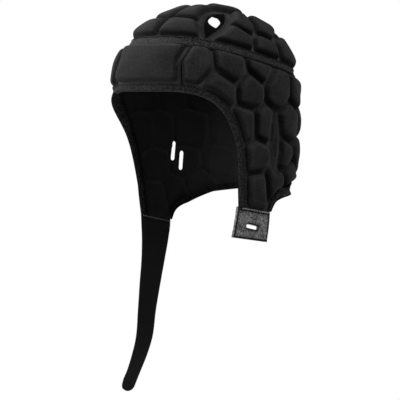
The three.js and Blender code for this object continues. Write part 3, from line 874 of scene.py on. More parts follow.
@dataclass
class PaddedPanel:
    """One padded panel of the headguard: outer cloth over pads, a lining, and the edge between them.

    Attributes:
        name: The piece's name.
        node: The solid that it replaces.
        step: Spacing of the mesh, in mm.
        ridge: Height of the lining's sealed lines between the pads.
        wall_shade: Strength of the painted shade on the pads' walls, from 0 to 1.
        ripple: How much the cloth ripples over the pads, where 1 is half a mm.
    """

    name: str
    node: str
    step: float = 0.95
    ridge: float = 0.7
    wall_shade: float = 1.0
    ripple: float = 1.0
    pads: PadField = field(init=False)

    # Each ripple of the cloth, across and then along: height, length over a radian, sway and the sway's length
    waves: ClassVar[tuple[tuple[float, ...], ...]] = ((0.30, 4.7, 2.1, 8.3), (0.25, 5.9, 1.6, 11.0))
    settled: ClassVar[float] = 5.0       # distance in from a pad's foot at which the ripples are whole
    ridge_top: ClassVar[float] = 0.6     # half the flat top of a sealed line
    ridge_fall: ClassVar[float] = 2.2    # over which it falls to the pane, and its corners' rounding
    pane_share: ClassVar[float] = 0.9    # share of the form's curve that a flat pane takes out
    pane_most: ClassVar[float] = 1.4     # the most that it stands off the form
    probe: ClassVar[float] = 0.8         # step up the form that tells a wall that faces down
    # Wear and a painted highlight in bands on the shoulders, as a share of these, and painted light beside
    # sealed
    # lines: strength, middle and spread
    shoulder_wear_and_highlight: ClassVar[tuple[float, float, float]] = (0.25, 0.6, 0.3)
    sealed_light: ClassVar[tuple[float, float, float]] = (0.28, 1.9, 0.9)
    bare_light: ClassVar[float] = 0.9      # the painted light on the bare cloth, which ends
    bare_end: ClassVar[float] = 4.2      # this far out from a pad's foot
    bare_fade: ClassVar[float] = 2.0     # after fading over this
    # Where on a wall the painted shade is darkest, over what spread, and how much more on one that faces down
    shade_at: ClassVar[tuple[float, float, float]] = (1.1, 1.2, 0.5)

    def grid(self) -> tuple[Array, Array]:
        """Steps of the grid that the panel is cut from."""
        raise NotImplementedError

    def spot(self, u: Array, v: Array, lift: float) -> Array:
        """Puts grid places onto the form at a height."""
        return FORM.at_bearing(u / FORM.unroll, v, lift)

    def room(self, places: Array, normals: Array) -> Array:
        """Distance of places in from the panel's cut edge."""
        raise NotImplementedError

    def borders(self, places: Array, normals: Array) -> list[Array]:
        """Distance left to each border of the pads, after its margin."""
        raise NotImplementedError

    def _cut(self, u: Array, v: Array) -> Array:
        """Room of grid places in from the cut edge."""
        places = self.spot(u, v, WALL)
        return self.room(places, FORM.normal(places))

    def _ripples(self, u: Array, v: Array, room: Array) -> Array:
        """Height of the cloth's ripples over the pads."""
        first, second = (height * np.sin(p / length + sway * np.sin(q / slow))
                         for (height, length, sway, slow), p, q in zip(self.waves, (u, v), (v, u)))
        return (first + second) * self.ripple * np.clip(room / self.settled, 0, 1)

    def _panes(self, wall: Array, cell: Array) -> Array:
        """Height of the lining over its own: a flat pane behind each pad, and a sealed line between two."""
        raised = 1 - np.clip((cell - self.ridge_top) / self.ridge_fall, 0, 1) ** 2
        return np.clip(self.pane_share * self.pads.drop(wall), 0, self.pane_most) - self.ridge * raised

    def _wear_and_light(self, room: Array) -> Array:
        """Wear and a painted highlight on the shoulders, and painted light, strongest on the bare cloth beside
        them.
        """
        bare = self.bare_light * np.clip(-room, 0, 1) * np.clip((self.bare_end + room) / self.bare_fade, 0, 1)
        return np.maximum(hump(room / self.pads.shoulder, *self.shoulder_wear_and_highlight), bare)

    def _painted_shade(self, wall: Array, room: Array) -> Array:
        """How much painted shade darkens the pads' walls, most on those that face down.

        Args:
            wall: Places on the cloth between the pads.
            room: Their distances in from the pads' feet.

        Returns:
            One share for each place.
        """
        above = FORM.on_form(wall + (0, 0, self.probe), WALL)
        higher = self.pads.room(above, self.borders(above, FORM.normal(above)))
        down = np.clip((higher - room) / self.probe, -1, 1)
        middle, spread, more = self.shade_at
        # Painted shade: walls that face down are painted darker, where shade falls under the pads
        return hump(room, self.wall_shade * (1 + down) / 2, middle, spread + more * down)

    def build(self) -> bpy.types.Object:
        """Cuts the panel, raises its pads, adds the lining and closes the edge between them.

        Returns:
            The panel.
        """
        flat, faces = trimmed_grid(*self.grid(), self._cut)
        u, v = flat.T
        wall = self.spot(u, v, WALL)
        normals = FORM.normal(wall)
        room = self.pads.room(wall, self.borders(wall, normals))
        cell = smooth_least(np.minimum(self.pads.cell_room(wall), FAR), self.ridge_fall)
        outer = wall + normals * (self.pads.rise(room) + self._ripples(u, v, room))[:, None]
        inner = self.spot(u, v, LINING) + normals * self._panes(wall, cell)[:, None]
        lining, walls = doubled(faces, len(flat))
        chosen = np.repeat([0, 1, 0], [len(faces), len(lining), len(walls)])
        # The outer cloth takes wear, painted light and painted shade; the lining takes painted light along its
        # sealed lines
        marks = {Mark.RUBBED: np.concatenate([self._wear_and_light(room), hump(cell, *self.sealed_light)]),
                 Mark.STRETCHED: np.concatenate([self._painted_shade(wall, room), np.zeros(len(flat))])}
        made = dressed(self.name, np.vstack([outer, inner]), faces + lining + walls, np.vstack([flat, flat]),
                       [PAD_KNIT, LINING_KNIT], chosen, marks)
        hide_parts(self.node)
        return made


@dataclass
class BrowPanel(PaddedPanel):
    """The front panel with one broad plain pad."""

    def __post_init__(self) -> None:
        """Sets the one pad's middle."""
        self.pads = PadField(FORM.at_bearing(np.array([0.0]), np.array([30.0]), WALL), crown=1.4, reach=18.0)

    def grid(self) -> tuple[Array, Array]:
        """Steps across the brow and up to the crown's seam."""
        return np.arange(-56, 56.5, self.step), np.arange(-3, 66, self.step)

    def _rooms(self, places: Array, normals: Array) -> list[Array]:
        """Room to the crown's seam, to the seam on each side and to the rim."""
        rim = places[:, 2] - EdgeLine(Side.LEFT)["brow_end"][1]
        return [crown_room(places, normals), *(brow_room(side, places, normals) for side in Side), rim]

    def room(self, places: Array, normals: Array) -> Array:
        """Distance of places in from the panel's cut edge."""
        *seams, rim = self._rooms(places, normals)
        return np.minimum.reduce([*(seam - GAP / 2 for seam in seams), rim])

    def borders(self, places: Array, normals: Array) -> list[Array]:
        """Distance left to the tape, the side seams and the binding."""
        margins = (TAPE_MARGIN, BROW_MARGIN, BROW_MARGIN, RIM_MARGIN)
        return [room - margin for room, margin in zip(self._rooms(places, normals), margins)]


@dataclass
class SidePanel(PaddedPanel):
    """A side panel: courses of pads, two ear slits in a bare oval, and the flap below."""

    side: Side = Side.LEFT
    slit_length: float = 20.0
    slit_width: float = 4.0
    slit_lean: float = 7.0
    edge: EdgeLine = field(init=False)
    # Height of each course, the bearings of its pads, and how far it lies lower and turned back on the right
    courses: ClassVar[tuple[tuple[float, tuple[float, ...], float, float], ...]] = (
        (26, (35, 60, 87), 0, 0), (2, (51, 76, 106, 135, 164), 3, 1), (-33, (70, 91, 121, 148, 172), 9, 4),
        (-65, (82, 113, 140, 165), 14, 7), (-98, (84,), 15, 3), (-93, (105,), 14, 5), (-90, (127,), 13, 5),
    )
    # Each ear: the bare oval's middle and half sizes, then its two slits, all in the side view
    ears: ClassVar[dict[Side, tuple[tuple[float, ...], tuple[tuple[float, float], ...]]]] = {
        Side.LEFT: ((19, -50, 9, 32), ((16, -41.5), (22, -57))),
        Side.RIGHT: ((30, -69, 11, 31), ((26.2, -64.5), (36.4, -75.3))),
    }

    def __post_init__(self) -> None:
        """Sets out the pads' middles and the edge on this side."""
        moved = 1 if self.side is Side.RIGHT else 0
        middles = [(math.radians(b + moved * turn), z - moved * lower)
                   for z, bearings, lower, turn in self.courses for b in bearings]
        bearing, height = np.array(middles).T
        self.pads = PadField(FORM.at_bearing(bearing * self.side.value, height, WALL))
        self.edge = EdgeLine(self.side)

    def grid(self) -> tuple[Array, Array]:
        """Steps round from the brow seam to the nape and up from the flap."""
        u = np.arange(math.radians(17) * FORM.unroll, math.pi * FORM.unroll + 2, self.step)
        return (u if self.side is Side.LEFT else -u[::-1]), np.arange(-143, 62, self.step)

    def _seams(self, places: Array, normals: Array) -> tuple[Array, Array, Array]:
        """Room to the crown's seam, the seam beside the brow and the seam down the back."""
        back = FORM.plane_room(places, normals, np.array([-float(self.side.value), 0.0, 0.0]), np.zeros(3))
        return (crown_room(places, normals), -brow_room(self.side, places, normals),
                np.where(places[:, 1] > 0, back, FAR))

    def slit_room(self, places: Array) -> Array:
        """Distance of places from the nearest ear slit's edge."""
        slits = [slot_axis(middle, self.slit_length, self.slit_width, 90 - self.slit_lean)
                 for middle in self.ears[self.side][1]]
        return np.minimum.reduce([line_distance(places[:, 1:], slit) for slit in slits]) - self.slit_width / 2

    def room(self, places: Array, normals: Array) -> Array:
        """Distance of places in from the panel's cut edge or an ear slit."""
        rim = self.edge.room(places, np.vstack([self.edge.face(), self.edge.neck()]))
        return np.minimum.reduce([rim, *(seam - GAP / 2 for seam in self._seams(places, normals)),
                                  self.slit_room(places)])

    def borders(self, places: Array, normals: Array) -> list[Array]:
        """Distance left to the tapes, seams, bindings, the flap's end and the ear's bare oval.

        Args:
            places: Places on the form.
            normals: The form's directions there.

        Returns:
            One row of distances for each border.
        """
        top, front, back = self._seams(places, normals)
        y, z, half_width, half_height = self.ears[self.side][0]
        turn = np.linspace(0, 2 * np.pi, 49)
        oval = np.stack([y + half_width * np.cos(turn), z + half_height * np.sin(turn)], axis=1)
        apart = line_distance(places[:, 1:], oval)
        clear = np.where(inside(places[:, 1:], oval[:-1]), -apart, apart)
        flap_end = np.array([self.edge["flap_front"], self.edge["flap_rear"]])
        edges = ((self.edge.face(), RIM_MARGIN), (self.edge.neck(), RIM_MARGIN), (flap_end, FLAP_MARGIN))
        return [top - TAPE_MARGIN, front - SEAM_MARGIN, back - BACK_MARGIN, clear - EAR_MARGIN,
                *(self.edge.room(places, line) - margin for line, margin in edges)]


@dataclass
class CrownPanel(PaddedPanel):
    """The dome of pads with four lens-shaped vents."""

    vent_margin: float = 6.2
    spread: float = 128.0      # reach of the grid from the top of the dome
    radius: float = 86.0       # turns a distance from the top to an angle
    lowest: float = 1.62       # the largest such angle, in radians
    # Pads and vents of the left half, seen from above
    pad_places: ClassVar[tuple[tuple[float, float], ...]] = (
        (19, -65), (15, -35), (16, 12), (13, 47), (20, 76), (41, 1), (47, 31), (62, -25), (69, 18), (62, 50))
    vents: ClassVar[tuple[tuple[tuple[float, float], tuple[float, float], float], ...]] = (
        ((50, -56), (27, -3), 8.5), ((31.5, 48), (17, 27), 6.5))

    def __post_init__(self) -> None:
        """Sets out the pads' middles and the vents' outlines."""
        seen = np.array([(sign * x, y) for sign in (1, -1) for x, y in self.pad_places], dtype=float)
        self.pads = PadField(self._overhead(seen))
        self.outlines = [self._lens(low, high, belly, sign)
                         for sign in (1, -1) for low, high, belly in self.vents]

    @staticmethod
    def _overhead(seen: Array) -> Array:
        """Places on the cloth straight above places of the top view."""
        top = np.full(len(seen), FORM.top + WALL)
        return np.column_stack([seen, bisected(
            np.zeros_like(top), top, lambda z: FORM.share(np.column_stack([seen, z]), WALL) < 1)])

    @staticmethod
    def _lens(low: tuple[float, float], high: tuple[float, float], belly: float, sign: int) -> Array:
        """Outline of a vent seen from above.

        Args:
            low: Its front tip.
            high: Its rear tip.
            belly: Half its width.
            sign: The side that it lies on.

        Returns:
            Flat places in order.
        """
        a, b = np.array([sign * low[0], low[1]]), np.array([sign * high[0], high[1]])
        swell = unit(np.array([b[1] - a[1], a[0] - b[0]])) * 2 * belly
        return np.vstack([bend(a, (a + b) / 2 + swell, b, 24)[:-1], bend(b, (a + b) / 2 - swell, a, 24)[:-1]])

    def grid(self) -> tuple[Array, Array]:
        """Steps from the top of the dome to the left and to the back, along the form."""
        steps = np.arange(-self.spread, self.spread + 0.1, self.step)
        return steps, steps

    def spot(self, u: Array, v: Array, lift: float) -> Array:
        """Puts grid places onto the form at a height.

        Args:
            u: Distances to the left.
            v: Distances to the back.
            lift: The height.

        Returns:
            Places, one to a row.
        """
        away = np.hypot(u, v)
        polar = np.minimum(away / self.radius, self.lowest)
        flat = np.sin(polar) / np.maximum(away, 1e-6)
        return FORM.on_form(np.stack([u * flat, v * flat, np.cos(polar)], axis=-1), lift)

    def _vent_rooms(self, places: Array) -> list[Array]:
        """Distance of places along the form from each vent.

        Args:
            places: Places on the form.

        Returns:
            For each vent, one distance for each place.
        """
        rooms = []
        for outline in self.outlines:
            apart = line_distance(places, self._overhead(np.vstack([outline, outline[:1]])))
            within = inside(places[:, :2], outline) & (places[:, 2] > 0)
            rooms.append(np.where(within, -apart, apart))
        return rooms

    def room(self, places: Array, normals: Array) -> Array:
        """Distance of places in from the seam or a vent."""
        seam = -crown_room(places, normals) - GAP / 2
        return np.minimum.reduce([seam, *self._vent_rooms(places)])

    def borders(self, places: Array, normals: Array) -> list[Array]:
        """Distance left to the tape and the vents."""
        vents = (room - self.vent_margin for room in self._vent_rooms(places))
        return [-crown_room(places, normals) - TAPE_MARGIN, *vents]


@dataclass
class Stitching:
    """Rows of single stitches, each a short bowed length of thread.

    Attributes:
        name: The piece's name.
        finish: The thread.
        radius: Half the thread's thickness.
        bow: How far the middle of a stitch stands off the cloth.
        pieces: Starts, ends and outward directions of the stitches sewn so far.
    """

    name: str
    finish: Finish
    radius: float = 0.55
    bow: float = 0.35
    pieces: list[tuple[Array, Array, Array]] = field(default_factory=list)
    sides: ClassVar[int] = 6
    # Share of a stitch's length and of its radius at each of its rings
    rings: ClassVar[tuple[tuple[float, float], ...]] = (
        (0.0, 0.2), (0.08, 0.75), (0.3, 1.0), (0.5, 1.0), (0.7, 1.0), (0.92, 0.75), (1.0, 0.2))
    flat_size: ClassVar[tuple[float, float]] = (3.0, 0.6)   # mm of flat map along a stitch and over a radian

    def row(self, line: Array, normals: Array, length: float, space: float) -> None:
        """Adds a running row along a line.

        Args:
            line: Places on the cloth, at even short steps.
            normals: The cloth's directions there.
            length: Length of a stitch.
            space: Space between two stitches.
        """
        reach = reach_along(line)
        start = np.arange(space / 2, reach[-1] - length, length + space)
        first, last = (at_reach(line, reach, at) for at in (start, start + length))
        self.pieces.append((first, last, at_reach(normals, reach, start)))

    def zigzag(self, corners: Array, normals: Array) -> None:
        """Adds stitches from each corner to the next."""
        self.pieces.append((corners[:-1], corners[1:], normals[:-1]))

    def build(self, slot: Slot) -> bpy.types.Object:
        """Makes all the stitches as one piece.

        Args:
            slot: The record's slot. It is not used.

        Returns:
            The piece.
        """
        start, end, up = (np.concatenate(part) for part in zip(*self.pieces))
        length = np.linalg.norm(end - start, axis=1, keepdims=True)
        along = (end - start) / length
        wide = unit(np.cross(up, along))
        up = np.cross(along, wide)
        shares, sizes = np.array(self.rings).T
        turns = np.arange(self.sides) / self.sides * 2 * np.pi
        middle = (start[:, None] + along[:, None] * (length * shares)[..., None]
                  + up[:, None] * (self.bow * np.sin(np.pi * shares))[:, None])
        ring = wide[:, None] * np.cos(turns)[:, None] + up[:, None] * np.sin(turns)[:, None]
        places = middle[:, :, None] + ring[:, None] * (sizes * self.radius)[:, None, None]
        run, round_it = self.flat_size
        flat = np.stack(np.meshgrid(shares * run, turns * round_it, indexing="ij"), axis=-1)
        one, count = tube_faces(len(shares), self.sides), len(shares) * self.sides
        faces = [tuple(i + count * n for i in face) for n in range(len(start)) for face in one]
        return dressed(self.name, places.reshape(-1, 3), faces, np.tile(flat.reshape(-1, 2), (len(start), 1)),
                       [self.finish])


@dataclass
class SewnBand:
    """A narrow cloth swept along the unrolled form: a flat tape or a folded binding.

    Attributes:
        name: The piece's name.
        node: The solid that it replaces, if any.
        finish: Its cloth.
        stations: Its middle or edge on the unrolled form, as (distance round, height).
        section: Its outline as (distance inward, height), in order.
        skew: How far its ends lean, for each mm across.
        lining: The finish of its inner leg, if that differs. The bindings take a darker copy of their tape
            there, as painted shade.
        shaded_share: Share of its length, from its start, over which the darker copy also covers the fold's
            end, as painted shade.
        flare: Where along it the outer leg turns outward, over what distance and by how much.
    """

    name: str
    node: str
    finish: Finish
    stations: Array
    section: Array
    skew: tuple[float, float] = (0.0, 0.0)
    lining: Finish | None = None
    shaded_share: float = 0.0
    flare: tuple[float, float, float] = (0.0, 1.0, 0.0)
    lean_reach: ClassVar[float] = 6.0    # distance from an end over which the lean dies away
    flare_depth: ClassVar[float] = 6.0   # height over the inner face at which the flare is whole
    fold: ClassVar[int] = 11             # where on a binding's section the inner leg starts
    roll: ClassVar[int] = 3              # how many places earlier the darker copy starts over the shaded share

    def place(self, inward: Array, lift: Array) -> Array:
        """Places on the form beside every station.

        Args:
            inward: Distances inward from the stations.
            lift: Heights.

        Returns:
            One row of places for each station.
        """
        along = unit(np.gradient(self.stations, axis=0))
        across = np.stack([-along[:, 1], along[:, 0]], axis=1)
        reach = reach_along(self.stations)
        first, last = np.exp(-reach / self.lean_reach), np.exp(-(reach[-1] - reach) / self.lean_reach)
        lean = (self.skew[0] * first + self.skew[1] * last)[:, None] * inward
        spots = self.stations[:, None] + across[:, None] * inward[:, None] + along[:, None] * lean[..., None]
        at, spread, height = self.flare
        puff = hump(reach, height, at, spread)[:, None]
        outer = np.clip(1 - inward / BINDING, 0, 1) * np.clip((lift - INNER_LIFT) / self.flare_depth, 0, 1)
        return FORM.at_bearing(spots[..., 0] / FORM.unroll, spots[..., 1], lift + puff * outer)

    def build(self) -> bpy.types.Object:
        """Sweeps the band and closes its ends.

        Returns:
            The band.
        """
        places = self.place(*self.section.T)
        rings, count = places.shape[:2]
        around = reach_along(self.section)
        middle = around[count // 4]
        flat = np.stack(np.broadcast_arrays(reach_along(self.stations)[:, None], around - middle), axis=-1)
        faces = tube_faces(rings, count)
        finishes, chosen = [self.finish], None
        if self.lining:
            ring, spot = np.divmod(np.arange(len(faces)), count)
            finishes.append(self.lining)
            # The darker copy paints shade on the inner leg, and over the shaded share on the fold's end too
            chosen = spot >= np.where(ring < self.shaded_share * rings, self.fold - self.roll, self.fold)
        made = dressed(self.name, places.reshape(-1, 3), faces, flat.reshape(-1, 2), finishes,
                       chosen)
        if self.node:
            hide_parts(self.node)
        return made

    def stitch(self, thread: Stitching, inward: float, lift: float) -> None:
        """Adds a row of stitches along the band.

        Args:
            thread: The stitching that takes the row.
            inward: How far inward it runs.
            lift: Its height.
        """
        line = self.place(np.array([inward]), np.array([lift]))[:, 0]
        thread.row(line, FORM.normal(line) * (1 if lift > 0 else -1), length=2.4, space=1.0)


def tape_section(half: float) -> Array:
    """Outline of a flat tape with a soft crown and rounded edges.

    Args:
        half: Half its width.

    Returns:
        Places as (distance inward, height), in order.
    """
    across = np.linspace(half, -half, 13)
    over = np.column_stack([across, TRIM_TOP - SWELL * np.abs(across / half) ** 4])
    under = np.column_stack([np.linspace(-half, half, 5) * 0.97, np.full(5, TRIM_LIFT)])
    return np.vstack([over, under])


def binding_section() -> tuple[Array, float]:
    """Outline of a cloth folded round an edge: over the wall, round the fold and back along the lining.

    Returns:
        Places as (distance inward, height), in order, and the cloth's width before it is folded.
    """
    fold_start, fold_reach, soft_edge = 0.6, 2.5, 0.3
    out = np.linspace(BINDING, fold_start, 8)
    swell = SWELL * np.sin(np.pi * (BINDING - out) / BINDING)
    outside = np.column_stack([out, TRIM_TOP + swell - soft_edge * (out > BINDING - soft_edge)])
    turn = np.linspace(0, np.pi, 11)[1:-1]
    half_height = (TRIM_TOP - INNER_LIFT) / 2
    fold = np.column_stack([fold_start - fold_reach * np.sin(turn),
                            (TRIM_TOP + INNER_LIFT) / 2 + half_height * np.cos(turn)])
    inner = np.column_stack([np.linspace(fold_start, INNER_LEG, 8), np.full(8, INNER_LIFT)])
    low = INNER_LIFT + TRIM
    back = np.array([[INNER_LEG, low], [fold_start, low], [-0.9, low + 0.6], [-0.9, TRIM_LIFT - 0.6],
                     [fold_start, TRIM_LIFT], [BINDING, TRIM_LIFT]])
    cloth = np.vstack([outside, fold, inner])
    return np.vstack([cloth, back]), float(reach_along(cloth)[-1])


@dataclass
class Trim:
    """All the tapes, bindings and welts, with their stitches.

    Attributes:
        step: Spacing of the stations.
        tape_half: Half a tape's width.
        brow_end: Bearing in degrees at which the brow's tape meets the crown's.
        tape_hem: From a tape's edge to its stitches.
        edge_hem: From a binding's edge to its stitches.
        inner_hem: From its inner leg's edge to its stitches.
        inner_stitch: Height of the inner leg's stitches, sunk in the cloth.
        neck_start: Share of a flap's rear edge that the neck's binding leaves bare.
        welt_ends: How far inside the brow's seam a welt starts and ends.
    """

    step: float = 2.0
    tape_half: float = 4.6
    brow_end: float = 33.0
    tape_hem: float = 1.1
    edge_hem: float = 1.3
    inner_hem: float = 1.0
    inner_stitch: float = -2.0
    neck_start: float = 0.25
    welt_ends: tuple[float, float] = (5.0, 1.0)
    # Half of the welt's outline: distance from the seam and height over the cloth
    welt: ClassVar[tuple[tuple[float, float], ...]] = ((0.4, 1.5), (0.95, 1.0), (1.1, -0.2))

    def _seam_stations(self, start: float, end: float) -> Array:
        """Stations along the crown's seam between two bearings in degrees."""
        bearing = np.radians(np.linspace(
            start, end, round(math.radians(end - start) * FORM.unroll / self.step) + 1))
        return np.column_stack([bearing * FORM.unroll, crown_height(bearing)])

    @staticmethod
    def _unrolled(side: Side, line: Array) -> Array:
        """Puts a line of the side view on the unrolled form."""
        bearing = FORM.bearing_of(line[:, 0], line[:, 1], WALL / 2)
        return np.column_stack([bearing * FORM.unroll * side.value, line[:, 1]])

    def face_stations(self) -> Array:
        """Stations from the right flap, over the brow, to the left flap."""
        right, left = (self._unrolled(side, EdgeLine(side).face()) for side in (Side.RIGHT, Side.LEFT))
        return respaced(np.vstack([right[::-1], left]), self.step)

    def neck_stations(self) -> Array:
        """Stations from the left flap, round the nape, to the right flap.

        Returns:
            Places on the unrolled form.
        """
        halves = []
        for side in Side:
            edge = EdgeLine(side)
            line = edge.neck()[:-1]
            line[0] += self.neck_start * (line[1] - line[0])
            turn = [[math.pi * FORM.unroll, edge["nape"][1]]]
            halves.append(np.vstack([self._unrolled(Side.LEFT, respaced(line, self.step)), turn]))
        left, right = halves
        right[:, 0] = 2 * math.pi * FORM.unroll - right[:, 0]
        return respaced(np.vstack([left, right[:-1][::-1]]), self.step)

    def back_stations(self) -> Array:
        """Stations up the seam at the back.

        Returns:
            Places on the unrolled form.
        """
        top = float(crown_height(np.array([math.pi]))[0]) - self.tape_half - GAP
        foot = EdgeLine(Side.LEFT)["nape"][1] + BINDING + 2 * GAP
        z = np.linspace(foot, top, round((top - foot) / self.step) + 1)
        return np.column_stack([np.full_like(z, math.pi * FORM.unroll), z])

    def welt_stations(self, side: Side) -> Array:
        """Stations up the seam beside the brow pad.

        Args:
            side: The seam's side.

        Returns:
            Places on the unrolled form.
        """
        bearings, heights = np.array(BROW_SEAM).T
        z = np.linspace(heights[0] + self.welt_ends[0], heights[-1] - self.welt_ends[1], 30)
        bearing = np.radians(np.interp(z, heights, bearings)) * side.value
        return np.column_stack([bearing * FORM.unroll, z])

    def build(self) -> list[bpy.types.Object]:
        """Sews on the tapes, bindings and welts.

        Returns:
            The pieces in order.
        """
        black = Stitching("trim_stitches", BLACK_THREAD)
        flat, (fold, cut), end = tape_section(self.tape_half), binding_section(), self.brow_end
        tapes = [
            SewnBand("brow_tape", "brow_seam_tape", SEAM_TAPE,
                     self._seam_stations(-end, end), flat, (0.5, -0.5)),
            SewnBand("crown_tape", "crown_seam_tape", SEAM_TAPE,
                     self._seam_stations(end + 0.5, 359.5 - end), flat, (-0.5, 0.5)),
            SewnBand("back_tape", "back_seam_tape", SEAM_TAPE, self.back_stations(), flat),
        ]
        bindings = [
            # The inner legs take the darker copy as painted shade; on the face edge it also covers the fold
            # along the right side
            SewnBand("face_edge", "face_binding", EDGE_TAPE, self.face_stations(), fold, lining=EDGE_TAPE_SHADED,
                     shaded_share=0.4, flare=(122.0, 28.0, 5.0)),
            SewnBand("neck_edge", "neck_binding", EDGE_TAPE, self.neck_stations(), fold, lining=EDGE_TAPE_SHADED,
                     flare=(27.0, 14.0, 8.0)),
        ]
        rib = np.array([*((-x, z) for x, z in self.welt), *self.welt[::-1]]) + (0.0, WALL)
        welts = [SewnBand(f"brow_welt_{side.name.lower()}", "", PAD_KNIT, self.welt_stations(side), rib)
                 for side in Side]
        made = [band.build() for band in (*tapes, *bindings, *welts)]
        for tape in tapes:
            for inward in (self.tape_half - self.tape_hem, self.tape_hem - self.tape_half):
                tape.stitch(black, inward, TRIM_TOP + 0.1)
        for binding in bindings:
            binding.stitch(black, BINDING - self.edge_hem, TRIM_TOP + 0.25)
            binding.stitch(black, INNER_LEG - self.inner_hem, self.inner_stitch)
        return [*made, black.build(Slot.TRIM)]


@dataclass
class StrapTab:
    """The slotted grey tab on the end of the left flap, with its sewn edges."""

    name: str = "slotted_tab"
    node: str = "strap_tab"
    thickness: float = 3.2
    rise: float = 2.8
    top_front: float = -31.5
    front: float = -33.5
    rear: float = 19.0
    height: float = 30.0
    slot_middle: tuple[float, float] = (-8.4, -137.4)
    slot_length: float = 19.0
    slot_height: float = 3.9
    slot_tilt: float = -12.5
    lap: float = 1.4
    step: float = 0.8
    soft: float = 1.4          # width of its rounded edges
    rounding: float = 1.1      # how far they fall
    zigzags: int = 23          # corners of the zigzag along its top
    zigzag_ends: tuple[float, float] = (0.11, 0.99)   # where along the top it starts and ends
    zigzag_drop: tuple[float, float] = (0.2, 1.5)     # how far below the top its corners lie, by turns
    row_drop: float = 2.8                             # how far below the top the dark row lies
    top_row: tuple[float, float] = (2.9, 0.5)         # the dark row's stitches and the space between two
    slot_row: tuple[float, float] = (1.6, 0.7)        # the same round the slot
    slot_hem: float = 1.0                             # from the slot's edge to them
    # Reach of the grid that it is cut from, along the head and up
    grid: ClassVar[tuple[tuple[float, float], ...]] = ((-40, 25), (-160, -112))

    def corners(self) -> Array:
        """The tab's corners in the side view: top front, bottom front, bottom rear and top rear."""
        (_, front), (y, rear) = (EdgeLine(Side.LEFT)[name] for name in ("flap_front", "flap_rear"))
        return np.array([(self.top_front, front + self.lap), (self.front, front - self.height),
                         (self.rear, rear - self.height), (y, rear + self.lap)])

    @staticmethod
    def spot(line: Array, lift: float) -> Array:
        """Puts places of the side view on the left flank at a height."""
        y, z = line.T
        return FORM.at_bearing(FORM.bearing_of(y, z, lift), z, lift)

    def _slot(self) -> Array:
        """The middles of the slot's round ends."""
        return slot_axis(self.slot_middle, self.slot_length, self.slot_height, self.slot_tilt)

    def _room(self, y: Array, z: Array) -> Array:
        """Room in from the tab's outline and out from its slot.

        Args:
            y: Places along the head.
            z: Heights.

        Returns:
            One distance for each place.
        """
        seen, outline = np.column_stack([y, z]), self.corners()
        apart = line_distance(seen, np.vstack([outline, outline[:1]]))
        slot = line_distance(seen, self._slot()) - self.slot_height / 2
        return np.minimum(np.where(inside(seen, outline), apart, -apart), slot)

    def build(self) -> list[bpy.types.Object]:
        """Cuts the tab, rounds its edges and sews it.

        Returns:
            The tab and its stitches.
        """
        flat, faces = trimmed_grid(*(np.arange(*reach, self.step) for reach in self.grid), self._room)
        soft = np.clip(self._room(*flat.T) / self.soft, 0, 1)
        fall = self.rounding * (1 - np.sqrt(1 - (1 - soft) ** 2))
        outer, inner = (self.spot(flat, lift) for lift in (self.rise, self.rise - self.thickness))
        inset = FORM.normal(outer) * fall[:, None]
        lining, walls = doubled(faces, len(flat))
        made = dressed(self.name, np.vstack([outer - inset, inner + inset]), faces + lining + walls,
                       np.vstack([flat, flat]), [COATED_CLOTH])
        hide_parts(self.node)
        return [made, *self._sewing()]

    def _sewing(self) -> list[bpy.types.Object]:
        """Sews the dark overcast edges, the slot's edge and the pale zigzag along the top.

        Returns:
            The dark stitches and the pale ones.
        """
        black = Stitching("tab_edge_stitches", BLACK_THREAD, 0.65, 0.5)
        pale = Stitching("tab_zigzag", PALE_THREAD, 0.42, 0.2)
        a, b, c, d = self.corners()
        for start, end in ((a, b), (b, c), (c, d)):
            self._overcast(black, respaced(np.array([start, end]), 1.5))
        turn = np.linspace(0, 2 * np.pi, 33)
        ring = np.stack([np.cos(turn), np.sin(turn)], axis=1) * (self.slot_height / 2 + self.slot_hem)
        front, rear = self._slot()
        ahead = np.cos(turn - math.radians(self.slot_tilt)) < 0
        round_slot = respaced(np.where(ahead[:, None], front, rear) + ring, 1.0)
        along_top = respaced(np.array([a, d]), 1.0) - (0.0, self.row_drop)
        for line, stitches in ((round_slot, self.slot_row), (along_top, self.top_row)):
            places = self.spot(line, self.rise + 0.1)
            black.row(places, FORM.normal(places), *stitches)
        share = np.linspace(*self.zigzag_ends, self.zigzags)[:, None]
        drop = np.where(np.arange(self.zigzags)[:, None] % 2, *self.zigzag_drop)
        places = self.spot(a + (d - a) * share - drop * (0.0, 1.0), self.rise + 0.5)
        pale.zigzag(places, FORM.normal(places))
        return [black.build(Slot.TRIM), pale.build(Slot.TRIM)]

    def _overcast(self, thread: Stitching, line: Array, reach: float = 1.9) -> None:
        """Adds overcast stitches that lean over an edge of the tab.

        Args:
            thread: The stitching that takes them.
            line: Places along the edge.
            reach: How far in from the edge they start.
        """
        along = line[-1] - line[0]
        inward = unit(np.array([-along[1], along[0]]))
        if (self.slot_middle - line[0]) @ inward < 0:
            inward = -inward
        ends = (line[:-1] + 0.1 * inward, line[1:] + reach * inward)
        first, last = (self.spot(end, self.rise + 0.05) for end in ends)
        thread.pieces.append((first, last, FORM.normal(first)))


